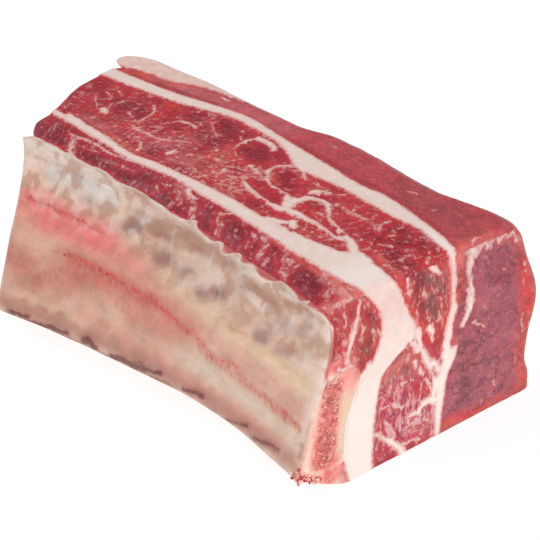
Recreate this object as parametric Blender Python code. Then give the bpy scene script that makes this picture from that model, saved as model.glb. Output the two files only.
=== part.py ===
"""A raw beef short rib: one thick chunk with its rib, lying on its lower cut face.

Every layer of the chunk is a gridded box whose points are moved to the layer's place between its two
borders. A border is a surface that runs the whole length and height of the chunk. Two layers that meet
share their border, its stations and its heights, so their faces follow each other across the gap.

+X runs from the inner side of the rib cage to the outer side, +Y along the rib from the near cut end
to the far one, and +Z up. Sizes are in millimetres, and place_in_metres puts the origin on the
ground under the middle of the chunk.
"""

import math
from dataclasses import dataclass
from typing import Callable

import bmesh
import bpy

HEIGHT = 60.0
NEAR_END = 0.0
MIDDLE_ACROSS = 25.9
MIDDLE_ALONG = 69.1
GAP = 0.3

MEMBRANE = 1.4

# The rib bends inwards along its length, and its lower edge bends further than its upper one.
RIB_SLOPE = -0.0504
RIB_BEND = -0.000714
LEAN_BEND = -0.00125

# The saw leaves soft rims: on the upper rim and on the standing rims at the two sides.
TOP_RIM = 1.8
INNER_RIM = 2.5
OUTER_RIM = 3.5

# The outer fat cap starts some way along the chunk and thickens towards the far end.
CAP_START = 0.72
CAP_CLEARANCE = 2.0
CAP_THICKNESS = ((90, 0.9), (97, 0.9), (105, 2.4), (110, 4.4), (115, 6.8), (124, 7.4), (134, 10.0))

STATIONS = (
    0.06, 0.12, 0.18, 0.24, 0.30, 0.36, 0.42, 0.48, 0.54, 0.60, 0.66, 0.72, 0.77, 0.82, 0.87, 0.92, 0.96,
)
HEIGHTS = (0, 4, 8, 12, 16, 20, 24, 28, 31, 33, 35, 37, 40, 43, 46, 50, 54, 57, 59, HEIGHT)

# The bone's lower and upper faces, and the chunk's undercut below it, across the inner column.
# The undercut's height changes along the chunk: INNER_FOOT is where the membrane ends.
BONE_FOOT = 8.0
BONE_SHOULDER = 31.0
BONE_LOWER = ((0.0, 11.4), (0.25, 8.6), (0.55, 7.0), (0.8, 7.1), (1.0, BONE_FOOT))
BONE_UPPER = ((0.0, 34.0), (0.2, 36.8), (0.45, 38.2), (0.7, 36.6), (0.88, 33.8), (1.0, BONE_SHOULDER))
UNDERCUT = ((0.0, 1.0), (0.25, 0.66), (0.5, 0.4), (0.75, 0.16), (0.92, 0.02), (1.0, 0.0))
INNER_FOOT = ((0.0, 7.2), (0.07, 8.4), (0.2, 10.2), (0.4, 9.8), (0.58, 7.8), (1.0, 7.2))
INNER_HEAD = ((0.88, HEIGHT), (0.95, HEIGHT - 0.6), (1.0, HEIGHT - 2.8))


def smooth_curve(knots, at):
    """The value at a place on the smooth curve through knots of (place, value), level past its ends."""
    if at <= knots[0][0]:
        return knots[0][1]
    if at >= knots[-1][0]:
        return knots[-1][1]
    here = max(k for k in range(len(knots) - 1) if knots[k][0] <= at)
    (start, low), (end, high) = knots[here], knots[here + 1]
    before = knots[max(here - 1, 0)]
    after = knots[min(here + 2, len(knots) - 1)]
    span = end - start
    slope_in = (high - before[1]) / (end - before[0]) * span
    slope_out = (after[1] - low) / (after[0] - start) * span
    f = (at - start) / span
    return (
        low * (2 * f**3 - 3 * f**2 + 1)
        + slope_in * (f**3 - 2 * f**2 + f)
        + high * (3 * f**2 - 2 * f**3)
        + slope_out * (f**3 - f**2)
    )


def blend(first, last, share):
    return first + (last - first) * share


@dataclass(frozen=True)
class Border:
    """A surface between two layers.

    along_top holds points of (distance from the near end, place across) on the top face, and down_end
    points of (height, place across) on the near end. fade is how much of the near end's form is lost
    at the far end, and lean is the border's share of the rib's lean. far_end is the chunk's length
    along the border at the ground, and overhang is what is added to it at the top.
    """

    along_top: tuple
    down_end: tuple
    far_end: float
    lean: float
    fade: float = 0.0
    overhang: float = 0.0

    def length(self, height):
        return self.far_end + self.overhang * height / HEIGHT

    def across(self, along, height):
        top = smooth_curve(self.along_top, along)
        down = smooth_curve(self.down_end, height) - smooth_curve(self.down_end, HEIGHT)
        lean = self.lean * LEAN_BEND * along**2 * (1 - height / HEIGHT)
        return top + down * (1 - self.fade * along / self.far_end) + lean


def rib_line(start, far, points):
    """The knots of a line that starts across at start and bends with the rib."""
    places = [far * k / (points - 1) for k in range(points)]
    return tuple((along, start + RIB_SLOPE * along + RIB_BEND * along**2) for along in places)


INNER_FACE = Border(
    along_top=rib_line(1.9, 120, 8),
    down_end=(
        (4, -1.0), (9, -2.9), (12, -3.0), (16, -2.2), (20, -1.2), (25, 0.0), (30, 1.2), (35, 2.9),
        (40, 4.2), (45, 5.1), (50, 5.4), (54, 4.9), (57, 3.6), (HEIGHT, 1.9),
    ),
    far_end=111.5,
    lean=1.0,
    fade=0.45,
    overhang=5.0,
)
INNER_SEAM_START = Border(
    along_top=(
        (0, 15.0), (10, 13.2), (20, 12.0), (35, 10.8), (50, 9.5), (60, 8.2), (70, 7.0), (78, 4.6),
        (85, 2.6), (95, 1.8), (103, 0.8), (110, 0.0), (120, -1.4),
    ),
    down_end=(
        (0, 13.0), (4, 12.0), (8, 11.2), (12, 11.2), (20, 11.6), (25, 12.8), (31, 15.2), (35, 18.2),
        (40, 20.8), (45, 21.8), (50, 21.2), (54, 19.2), (57, 17.0), (HEIGHT, 15.0),
    ),
    far_end=120.3,
    lean=0.95,
)
INNER_SEAM_END = Border(
    along_top=(
        (0, 24.6), (10, 24.8), (16, 22.4), (20, 20.4), (25, 18.7), (33, 17.2), (40, 15.5),
        (50, 14.4), (60, 12.6), (70, 10.4), (80, 7.8), (86, 5.6), (95, 4.9), (104, 4.3), (112, 2.6),
        (121, 0.8),
    ),
    down_end=(
        (0, 21.5), (10, 21.2), (20, 21.6), (28, 22.6), (31, 23.6), (34, 27.0), (38, 33.0),
        (42, 33.2), (46, 31.0), (50, 29.2), (54, 27.8), (57, 26.4), (HEIGHT, 24.6),
    ),
    far_end=121.8,
    lean=0.85,
)
OUTER_SEAM_START = Border(
    along_top=(
        (0, 42.0), (5, 42.2), (12, 43.2), (20, 41.8), (32, 40.4), (42, 39.2), (48, 37.6),
        (54, 36.2), (60, 38.4), (67, 40.2), (80, 39.5), (88, 38.0), (95, 34.6), (105, 30.2),
        (115, 26.8), (131, 22.2),
    ),
    down_end=(
        (0, 43.0), (14, 42.0), (25, 43.0), (35, 43.6), (42, 44.8), (50, 44.4), (55, 43.8),
        (HEIGHT, 42.4),
    ),
    far_end=132.6,
    lean=0.5,
)
OUTER_SEAM_END = Border(
    along_top=(
        (0, 45.0), (8, 46.4), (20, 47.1), (30, 47.0), (36, 45.4), (50, 44.5), (70, 43.4),
        (82, 43.0), (90, 41.0), (100, 37.0), (110, 33.2), (120, 30.5), (131, 27.8),
    ),
    down_end=(
        (0, 44.6), (12, 45.2), (20, 45.8), (25, 48.0), (30, 48.2), (34, 46.4), (40, 47.6),
        (50, 46.2), (HEIGHT, 45.0),
    ),
    far_end=133.6,
    lean=0.5,
)
OUTER_SIDE = Border(
    along_top=(
        (0, 63.4), (6, 63.6), (14, 61.8), (25, 58.2), (35, 57.2), (50, 56.6), (62, 54.8),
        (72, 50.8), (82, 48.8), (95, 46.6), (110, 44.4), (122, 41.6), (132, 39.4), (138, 36.8),
    ),
    down_end=(
        (0, 78.0), (5, 77.4), (11, 75.4), (20, 75.5), (30, 77.0), (35, 76.2), (40, 74.4),
        (46, 71.6), (50, 70.2), (54, 68.4), (57, 66.0), (59, 63.8), (HEIGHT, 62.0),
    ),
    far_end=133.0,
    lean=0.2,
)


def meat_side(along):
    """How far the outer meat stays back from the outer side, to leave room for the fat cap."""
    if along < CAP_START * OUTER_SIDE.far_end - CAP_CLEARANCE:
        return 0.0
    return -smooth_curve(CAP_THICKNESS, along) - GAP / 2


def cap_side(along):
    return -smooth_curve(CAP_THICKNESS, along) + GAP


def constant(value):
    return lambda *_: value


def column_curve(knots, raised=0.0):
    return lambda column, _: smooth_curve(knots, column) + raised


def station_curve(knots):
    return lambda _, share: smooth_curve(knots, share)


def undercut(column, share):
    return smooth_curve(UNDERCUT, column) * smooth_curve(INNER_FOOT, share)


@dataclass(frozen=True)
class Layer:
    """One layer: the room between two borders, each moved across by its offset, and two heights.

    far_form holds points of (fraction across, length added at the far end), columns and levels are
    where its box is cut, and first_station is where along the chunk it starts.
    """

    name: str
    colour: tuple
    roughness: float
    inner: Border
    inner_offset: Callable
    outer: Border
    outer_offset: Callable
    foot: Callable
    head: Callable
    columns: tuple
    levels: tuple
    first_station: float = 0.0
    far_form: tuple = ((0, 0.0), (1, 0.0))


def rim_inset(radius, distance):
    """How far a rounded rim draws back at a distance from its edge."""
    left = radius - max(distance, 0.0)
    if left <= 0:
        return 0.0
    return radius - math.sqrt(radius**2 - left**2)


def layer_place(layer, column, station, level):
    """The place in the chunk of a point of the layer's box, given as three fractions."""
    share = blend(layer.first_station, 1.0, station)
    height = blend(layer.foot(column, share), layer.head(column, share), level)
    length = blend(layer.inner.length(height), layer.outer.length(height), column)
    length += smooth_curve(layer.far_form, column) * share**6

    def across(along):
        inner = layer.inner.across(along, height) + layer.inner_offset(along)
        outer = layer.outer.across(along, height) + layer.outer_offset(along)
        return blend(inner, outer, column)

    unrounded = share * length
    inset = (
        rim_inset(TOP_RIM, HEIGHT - height)
        + rim_inset(INNER_RIM, across(unrounded) - INNER_FACE.across(unrounded, height))
        + rim_inset(OUTER_RIM, OUTER_SIDE.across(unrounded, height) - across(unrounded))
    )
    along = NEAR_END + inset + share * (length - 2 * inset)
    return across(along), along, height


def place_in_metres(across, along, height):
    return (across - MIDDLE_ACROSS) / 1000, (along - MIDDLE_ALONG) / 1000, height / 1000


def gridded_box(columns, stations, levels):
    """A unit box from the origin, cut across its three directions at the given fractions."""
    box = bmesh.new()
    bmesh.ops.create_cube(box, size=1)
    bmesh.ops.translate(box, verts=box.verts, vec=(0.5, 0.5, 0.5))
    for axis, cuts in enumerate((columns, stations, levels)):
        direction = [float(axis == k) for k in range(3)]
        for cut in cuts:
            everything = box.verts[:] + box.edges[:] + box.faces[:]
            place = [cut * step for step in direction]
            bmesh.ops.bisect_plane(box, geom=everything, dist=1e-5, plane_co=place, plane_no=direction)
    return box


def raw_material(name, colour, roughness):
    material = bpy.data.materials.new(name)
    material.use_nodes = True
    shader = material.node_tree.nodes["Principled BSDF"]
    shader.inputs["Base Color"].default_value = (*colour, 1.0)
    shader.inputs["Roughness"].default_value = roughness
    shader.inputs["Metallic"].default_value = 0.0
    return material


def build_layer(layer, collection):
    stations = [
        (share - layer.first_station) / (1 - layer.first_station)
        for share in STATIONS
        if share > layer.first_station
    ]
    box = gridded_box(layer.columns, stations, layer.levels)
    for vert in box.verts:
        vert.co = place_in_metres(*layer_place(layer, *vert.co))
    bmesh.ops.triangulate(box, faces=box.faces, quad_method="SHORT_EDGE")
    bmesh.ops.recalc_face_normals(box, faces=box.faces)
    mesh = bpy.data.meshes.new(layer.name)
    box.to_mesh(mesh)
    box.free()
    mesh.shade_smooth()
    mesh.set_sharp_from_angle(angle=math.radians(40))
    mesh.materials.append(raw_material(layer.name, layer.colour, layer.roughness))
    body = bpy.data.objects.new(layer.name, mesh)
    collection.objects.link(body)
    return body


def levels_between(foot, head):
    """The chunk's shared heights that lie between two heights, as fractions of the way up."""
    return tuple((height - foot) / (head - foot) for height in HEIGHTS if foot < height < head)


RED_MEAT = (0.42, 0.06, 0.06)
PALE_FAT = (0.82, 0.70, 0.62)
SEAM_COLUMNS = (1 / 3, 2 / 3)
MEAT_COLUMNS = (0.2, 0.4, 0.6, 0.8)
FULL_LEVELS = levels_between(0, HEIGHT)

LAYERS = (
    Layer(
        name="inner_membrane", colour=(0.72, 0.52, 0.42), roughness=0.35,
        inner=INNER_FACE, inner_offset=constant(0.0),
        outer=INNER_FACE, outer_offset=constant(MEMBRANE),
        foot=station_curve(INNER_FOOT), head=station_curve(INNER_HEAD),
        columns=(), levels=levels_between(BONE_FOOT, HEIGHT),
    ),
    Layer(
        name="rib_bone", colour=(0.80, 0.38, 0.32), roughness=0.5,
        inner=INNER_FACE, inner_offset=constant(MEMBRANE + GAP),
        outer=INNER_SEAM_START, outer_offset=constant(-GAP / 2),
        foot=column_curve(BONE_LOWER), head=column_curve(BONE_UPPER, -GAP / 2),
        columns=MEAT_COLUMNS, levels=levels_between(BONE_FOOT, BONE_SHOULDER),
    ),
    Layer(
        name="upper_rib_meat", colour=RED_MEAT, roughness=0.4,
        inner=INNER_FACE, inner_offset=constant(MEMBRANE + GAP),
        outer=INNER_SEAM_START, outer_offset=constant(-GAP / 2),
        foot=column_curve(BONE_UPPER, GAP), head=constant(HEIGHT),
        columns=MEAT_COLUMNS, levels=levels_between(BONE_SHOULDER, HEIGHT),
        far_form=((0, -4.5), (0.2, -2.0), (0.5, 0.0), (1, 0.0)),
    ),
    Layer(
        name="lower_rib_meat", colour=RED_MEAT, roughness=0.4,
        inner=INNER_FACE, inner_offset=constant(MEMBRANE + GAP),
        outer=INNER_SEAM_START, outer_offset=constant(-GAP / 2),
        foot=undercut, head=column_curve(BONE_LOWER, -GAP),
        columns=MEAT_COLUMNS, levels=levels_between(0, BONE_FOOT),
    ),
    Layer(
        name="inner_fat_seam", colour=PALE_FAT, roughness=0.45,
        inner=INNER_SEAM_START, inner_offset=constant(GAP / 2),
        outer=INNER_SEAM_END, outer_offset=constant(-GAP / 2),
        foot=constant(0.0), head=constant(HEIGHT),
        columns=SEAM_COLUMNS, levels=FULL_LEVELS,
    ),
    Layer(
        name="middle_meat", colour=RED_MEAT, roughness=0.4,
        inner=INNER_SEAM_END, inner_offset=constant(GAP / 2),
        outer=OUTER_SEAM_START, outer_offset=constant(-GAP / 2),
        foot=constant(0.0), head=constant(HEIGHT),
        columns=(0.25, 0.5, 0.75), levels=FULL_LEVELS,
        far_form=((0, 0.0), (0.5, 2.0), (1, 0.0)),
    ),
    Layer(
        name="outer_fat_seam", colour=PALE_FAT, roughness=0.45,
        inner=OUTER_SEAM_START, inner_offset=constant(GAP / 2),
        outer=OUTER_SEAM_END, outer_offset=constant(-GAP / 2),
        foot=constant(0.0), head=constant(HEIGHT),
        columns=(), levels=FULL_LEVELS,
    ),
    Layer(
        name="outer_meat", colour=RED_MEAT, roughness=0.4,
        inner=OUTER_SEAM_END, inner_offset=constant(GAP / 2),
        outer=OUTER_SIDE, outer_offset=meat_side,
        foot=constant(0.0), head=constant(HEIGHT),
        columns=(0.35, 0.65, 0.84, 0.95), levels=FULL_LEVELS,
    ),
    Layer(
        name="outer_fat_cap", colour=PALE_FAT, roughness=0.45,
        inner=OUTER_SIDE, inner_offset=cap_side,
        outer=OUTER_SIDE, outer_offset=constant(0.0),
        foot=constant(0.0), head=constant(HEIGHT),
        columns=(0.3, 0.6, 0.85), levels=FULL_LEVELS,
        first_station=CAP_START, far_form=((0, 0.8), (0.3, 4.4), (0.6, 5.2), (0.85, 3.2), (1, 0.5)),
    ),
)


def main():
    for old in list(bpy.data.objects):
        bpy.data.objects.remove(old, do_unlink=True)
    collection = bpy.data.collections.new("beef_short_rib")
    bpy.context.scene.collection.children.link(collection)
    for layer in LAYERS:
        build_layer(layer, collection)


main()
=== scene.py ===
"""Dresses the raw beef short rib: cut faces with marbling and seams of fat, the sawn rib and its membrane.

The chunk is worked in millimetres: across from the inner side of the rib cage to the outer side, along
the rib from the near cut end to the far one, and height above the ground. to_metres brings those places
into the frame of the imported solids. Every piece is lofted between the same borders as its solid, so it
has that solid's form, and its surface is cut finely where it shows.
"""

import logging
import math
from dataclasses import dataclass
from enum import Enum
from functools import reduce
from typing import Callable

import bmesh
import bpy
import numpy as np
from mathutils import Matrix, Vector
from mathutils.geometry import delaunay_2d_cdt


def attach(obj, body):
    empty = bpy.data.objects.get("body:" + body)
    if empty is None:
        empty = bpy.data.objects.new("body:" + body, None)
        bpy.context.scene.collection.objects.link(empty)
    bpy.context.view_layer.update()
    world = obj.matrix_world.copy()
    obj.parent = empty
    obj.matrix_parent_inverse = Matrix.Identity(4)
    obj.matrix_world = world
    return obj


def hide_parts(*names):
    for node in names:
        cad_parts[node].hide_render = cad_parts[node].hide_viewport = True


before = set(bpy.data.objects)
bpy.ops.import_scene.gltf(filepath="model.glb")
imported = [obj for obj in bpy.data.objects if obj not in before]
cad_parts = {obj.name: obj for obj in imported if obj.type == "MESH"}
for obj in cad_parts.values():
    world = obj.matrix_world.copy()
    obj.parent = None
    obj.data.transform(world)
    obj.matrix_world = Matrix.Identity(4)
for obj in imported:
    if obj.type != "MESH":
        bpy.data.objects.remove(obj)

LOG = logging.getLogger("short_rib")

Array = np.ndarray
Knots = tuple[tuple[float, float], ...]
Triple = tuple[float, float, float]

# Sizes are in millimetres, and pairs are (place, value).
HEIGHT = 60.0
MIDDLE = (25.9, 69.1, 0)
MEMBRANE = 1.55
RIB_SLOPE, RIB_BEND, LEAN_BEND = -0.0504, -0.000714, -0.00125
TOP_RIM, INNER_RIM, OUTER_RIM = 1.8, 2.5, 3.5
CAP_START = 0.7
CAP_THICKNESS = ((92, 0.05), (97, 0.9), (105, 2.4), (110, 4.4), (115, 6.8), (124, 7.4), (134, 10))
BONE_LOWER = ((0, 11.4), (0.25, 8.6), (0.55, 7), (0.8, 7.1), (1, 8))
BONE_UPPER = ((0, 34), (0.2, 36.8), (0.45, 38.2), (0.7, 36.6), (0.88, 33.8), (1, 31))
UNDERCUT = ((0, 1), (0.25, 0.66), (0.5, 0.4), (0.75, 0.16), (0.92, 0.02), (1, 0))
INNER_FOOT = ((0, 7.2), (0.07, 8.4), (0.2, 10.2), (0.4, 9.8), (0.58, 7.8), (1, 7.2))
INNER_HEAD = ((0.88, HEIGHT), (0.95, HEIGHT - 0.6), (1, HEIGHT - 2.8))
FAR_AWAY = 3.0
NOISE_CELLS, COARSE_STEP = 24, 9
RELIEF_REACH, RELIEF_DEPTH = 3.0, 0.5
CHEWED_DEPTH = 0.8
FILM_SHRINK, FILM_DEPTH = 0.05, -0.04
VEIN_SHRINK, FULL_VEIN = 0.28, 2.2
VEIN_DEPTH, DEPTH_GROWTH = 0.12, 1.2
TORN_EDGE = (
    (-1, 1.4), (2, 1.3), (3.2, 1), (4.2, 2.6), (5.2, 0.7), (7, 0.9), (9, 1.6), (12, 2), (14.2, 2.4),
    (15.4, 0), (17, -0.9), (20.6, -0.8), (22.6, 0.1), (24.6, 0), (26.4, -1), (28, -0.5), (29.4, 0.9),
    (30.4, 0.4), (31.4, -1.9), (34, -1.9), (35.6, -0.6), (37, -0.2), (38.2, -1.9), (41.4, -1.9), (45.6, -1),
    (48.3, 1.2), (49.6, 0.5), (50.6, -2), (55, -3), (60, -3.3), (66, -3), (71, -3.6), (75, -5.6),
    (84, -5.4), (87, -7), (93, -8.1), (96.2, -7.6), (97.6, -9.1), (102, -9.3), (106, -10.5), (109.6, -10.9),
    (111, -12.4), (118, -13),
)
TORN_SLANT = (-0.81, -1.18)
TORN_SETBACK, TORN_WANDER = 0.35, 0.25
WANDERING = ((0.5, 2.6), (0.26, 1.1))
MIDDLE_MARBLING = (
    (0, 0.8), (12, 0.95), (30, 0.75), (46, 0.8), (60, 1.15), (80, 1.1), (92, 0.9), (110, 0.8), (130, 0.7),
)


class Hue(Enum):
    """The colours of the tissues, as eight-bit display values."""

    DEEP = (150, 22, 42)
    CRIMSON = (196, 34, 50)
    GARNET = (176, 44, 58)
    PURPLE = (128, 22, 44)
    BROWN = (150, 54, 44)
    GREY_BROWN = (120, 72, 68)
    RIM_RED = (200, 60, 60)
    BROWN_RED = (166, 58, 54)
    ORANGE = (208, 68, 50)
    CORAL = (222, 106, 96)
    BRICK = (190, 72, 80)
    MAUVE = (172, 86, 100)
    PLUM = (144, 60, 78)
    MAGENTA = (158, 36, 64)
    ROSE = (214, 132, 134)
    BLUSH = (234, 168, 162)
    FILM_PINK = (218, 164, 160)
    PALE_PINK = (248, 200, 184)
    CREAM_FAT = (232, 208, 200)
    WHITE_FAT = (242, 228, 221)
    THIN_FAT = (232, 186, 178)
    WARM_FAT = (236, 208, 194)
    CAP_FAT = (228, 190, 178)
    LILAC_FAT = (238, 196, 199)
    RASPBERRY = (162, 40, 82)
    WINE = (166, 54, 68)
    RUBY = (192, 48, 62)
    GREY_FAT = (218, 210, 204)
    RAW_CORAL = (222, 112, 104)
    SALMON = (240, 150, 140)
    MARROW = (160, 62, 58)
    BONE_CREAM = (226, 196, 168)
    IVORY = (234, 216, 202)
    BEIGE = (220, 182, 158)
    TAN = (176, 122, 96)
    STRAW = (236, 202, 160)
    DUSKY_PINK = (224, 154, 138)
    WARM_PINK = (244, 116, 116)
    VEIN_RED = (192, 66, 56)
    BRIGHT_VESSEL = (214, 60, 50)
    SHADOW_MAUVE = (150, 106, 104)
    LAVENDER = (188, 162, 158)
    CLOT = (112, 40, 38)
    RUSSET = (178, 112, 98)
    BRICK_PINK = (188, 96, 82)

    def linear(self) -> Array:
        """Return the hue in linear light."""
        share = np.array(self.value) / 255
        return np.where(share <= 0.04045, share / 12.92, ((share + 0.055) / 1.055) ** 2.4)


def blend(first: Array | float, last: Array | float, share: Array | float) -> Array | float:
    """Return what lies a share of the way from first to last."""
    return first + (last - first) * share


def ramp(value: Array, low: float, high: float) -> Array:
    """Rise smoothly from 0 to 1 while the value goes from low to high.

    Args:
        value: The values to judge.
        low: Where the rise starts. It may lie above high, for a fall.
        high: Where the rise ends.

    Returns:
        A share from 0 to 1 for each value.
    """
    share = np.clip((value - low) / (high - low), 0, 1)
    return share * share * (3 - 2 * share)


def smooth_curve(knots: Knots, at: Array) -> Array:
    """Read the smooth curve through knots, level past its ends.

    Args:
        knots: Pairs of place and value, in order of place.
        at: The places to read.

    Returns:
        The value at each place.
    """
    places, values = (np.array(side, float) for side in zip(*knots))
    at = np.clip(at, places[0], places[-1])
    here = np.clip(np.searchsorted(places, at, side="right") - 1, 0, len(places) - 2)
    before = np.maximum(here - 1, 0)
    after = np.minimum(here + 2, len(places) - 1)
    start, end = places[here], places[here + 1]
    low, high = values[here], values[here + 1]
    span = end - start
    slope_in = (high - values[before]) / (end - places[before]) * span
    slope_out = (values[after] - low) / (places[after] - start) * span
    f = (at - start) / span
    return (
        low * (2 * f**3 - 3 * f**2 + 1)
        + slope_in * (f**3 - 2 * f**2 + f)
        + high * (3 * f**2 - 2 * f**3)
        + slope_out * (f**3 - f**2)
    )


def to_metres(places: Array) -> Array:
    """Bring places in millimetres from the chunk's corner into the frame of the solids."""
    return (places - np.array(MIDDLE)) / 1000


@dataclass(frozen=True)
class Unevenness:
    """Smooth random heights in space, between -1 and 1, the same on each run."""

    seed: int

    def at(self, places: Array, size: float | Triple) -> Array:
        """Read the heights.

        Args:
            places: Points in millimetres, one a row.
            size: The width of one lump in millimetres, or its three widths.

        Returns:
            A height from -1 to 1 for each point.
        """
        table = np.random.default_rng(self.seed).uniform(-1, 1, (NOISE_CELLS,) * 3)
        scaled = places / np.array(size, float) + self.seed * 0.37
        low = np.floor(scaled).astype(int)
        share = scaled - low
        share = share * share * (3 - 2 * share)
        total = np.zeros(len(places))
        for corner in range(8):
            step = np.array([corner >> axis & 1 for axis in range(3)])
            cell = (low + step) % NOISE_CELLS
            weight = np.prod(np.where(step, share, 1 - share), axis=1)
            total += weight * table[cell[:, 0], cell[:, 1], cell[:, 2]]
        return total

    def layered(self, places: Array, size: float, layers: int = 3) -> Array:
        """Add up layers of heights, each half as wide and half as high as the one before."""
        parts = [self.at(places, size / 2**k) / 2**k for k in range(layers)]
        return sum(parts) / 1.75


@dataclass(frozen=True)
class Border:
    """A surface between two layers, given on the top face and down the near end.

    The near end's form fades towards the far end, and lean is the border's share of the rib's lean.
    """

    along_top: Knots
    down_end: Knots
    far_end: float
    lean: float
    fade: float = 0.0
    overhang: float = 0.0

    def length(self, height: Array) -> Array:
        """Return the chunk's length along this border at each height."""
        return self.far_end + self.overhang * height / HEIGHT

    def across(self, along: Array, height: Array) -> Array:
        """Find where the border lies.

        Args:
            along: Distances from the near end, in millimetres.
            height: Heights above the ground, in millimetres.

        Returns:
            The border's place across, for each pair.
        """
        top = smooth_curve(self.along_top, along)
        down = smooth_curve(self.down_end, height) - smooth_curve(self.down_end, HEIGHT)
        lean = self.lean * LEAN_BEND * along**2 * (1 - height / HEIGHT)
        return top + down * (1 - self.fade * along / self.far_end) + lean


INNER_FACE = Border(
    along_top=tuple(
        (along, 1.9 + RIB_SLOPE * along + RIB_BEND * along**2) for along in np.linspace(0, 120, 8)
    ),
    down_end=(
        (4, -1), (9, -2.9), (12, -3), (16, -2.2), (20, -1.2), (25, 0), (30, 1.2), (35, 2.9),
        (40, 4.2), (45, 5.1), (50, 5.4), (54, 4.9), (57, 3.6), (HEIGHT, 1.9),
    ),
    far_end=111.5,
    lean=1,
    fade=0.45,
    overhang=5,
)
INNER_SEAM_START = Border(
    along_top=(
        (0, 15), (10, 13.2), (20, 12), (35, 10.8), (50, 9.5), (60, 8.2), (70, 7), (78, 4.6),
        (85, 2.6), (95, 1.8), (103, 0.8), (110, 0), (120, -1.4),
    ),
    down_end=(
        (0, 13), (4, 12), (8, 11.2), (12, 11.2), (20, 11.6), (25, 12.8), (31, 15.2), (35, 18.2),
        (40, 20.8), (45, 21.8), (50, 21.2), (54, 19.2), (57, 17), (HEIGHT, 15),
    ),
    far_end=120.3,
    lean=0.95,
)
INNER_SEAM_END = Border(
    along_top=(
        (0, 24.6), (10, 24.8), (16, 22.4), (20, 20.4), (25, 18.7), (33, 17.2), (40, 15.5),
        (50, 14.4), (60, 12.6), (70, 10.4), (80, 7.8), (86, 5.6), (95, 4.9), (104, 4.3), (112, 2.6),
        (121, 0.8),
    ),
    down_end=(
        (0, 21.5), (10, 21.2), (20, 21.6), (28, 22.6), (31, 23.6), (34, 27), (38, 33),
        (42, 33.2), (46, 31), (50, 29.2), (54, 27.8), (57, 26.4), (HEIGHT, 24.6),
    ),
    far_end=121.8,
    lean=0.85,
)
OUTER_SEAM_START = Border(
    along_top=(
        (0, 42), (5, 42.2), (12, 43.2), (20, 41.8), (32, 40.4), (42, 39.2), (48, 37.6),
        (54, 36.2), (60, 38.4), (67, 40.2), (80, 39.5), (88, 38), (95, 34.6), (105, 30.2),
        (115, 26.8), (131, 22.2),
    ),
    down_end=(
        (0, 43), (14, 42), (25, 43), (35, 43.6), (42, 44.8), (50, 44.4), (55, 43.8),
        (HEIGHT, 42.4),
    ),
    far_end=132.6,
    lean=0.5,
)
OUTER_SEAM_END = Border(
    along_top=(
        (0, 45), (8, 46.4), (20, 47.1), (30, 47), (36, 45.4), (50, 44.5), (70, 43.4),
        (82, 43), (90, 41), (100, 37), (110, 33.2), (120, 30.5), (131, 27.8),
    ),
    down_end=(
        (0, 44.6), (12, 45.2), (20, 45.8), (25, 48), (30, 48.2), (34, 46.4), (40, 47.6),
        (50, 46.2), (HEIGHT, 45),
    ),
    far_end=133.6,
    lean=0.5,
)
OUTER_SIDE = Border(
    along_top=(
        (0, 63.4), (6, 63.6), (14, 61.8), (25, 58.2), (35, 57.2), (50, 56.6), (62, 54.8),
        (72, 50.8), (82, 48.8), (95, 46.6), (110, 44.4), (122, 41.6), (132, 39.4), (138, 36.8),
    ),
    down_end=(
        (0, 78), (5, 77.4), (11, 75.4), (20, 75.5), (30, 77), (35, 76.2), (40, 74.4),
        (46, 71.6), (50, 70.2), (54, 68.4), (57, 66), (59, 63.8), (HEIGHT, 62),
    ),
    far_end=133,
    lean=0.2,
)


def cap_side(along: Array) -> Array:
    """Return how far the outer meat stays back from the outer side, under the fat cap."""
    return -smooth_curve(CAP_THICKNESS, along) * (along > CAP_THICKNESS[0][0])


def constant(value: float) -> Callable[..., float]:
    """Return a rule that gives the same value everywhere."""
    return lambda *_: value


def column_curve(knots: Knots) -> Callable[[Array, Array], Array]:
    """Return a height that changes across a layer."""
    return lambda column, _: smooth_curve(knots, column)


def station_curve(knots: Knots) -> Callable[[Array, Array], Array]:
    """Return a height that changes along a layer."""
    return lambda _, share: smooth_curve(knots, share)


def undercut(column: Array, share: Array) -> Array:
    """Return the height of the chunk's undercut below the rib."""
    return smooth_curve(UNDERCUT, column) * smooth_curve(INNER_FOOT, share)


def rim_inset(radius: float, distance: Array) -> Array:
    """Return how far places at a distance from a rounded rim's edge draw back."""
    left = np.maximum(radius - np.maximum(distance, 0), 0)
    return radius - np.sqrt(radius**2 - left**2)


class Side(Enum):
    """The six sides of a layer's box: the axis that it closes, and at which end."""

    INNER = (0, 0)
    OUTER = (0, 1)
    NEAR = (1, 0)
    FAR = (1, 1)
    UNDER = (2, 0)
    TOP = (2, 1)


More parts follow.
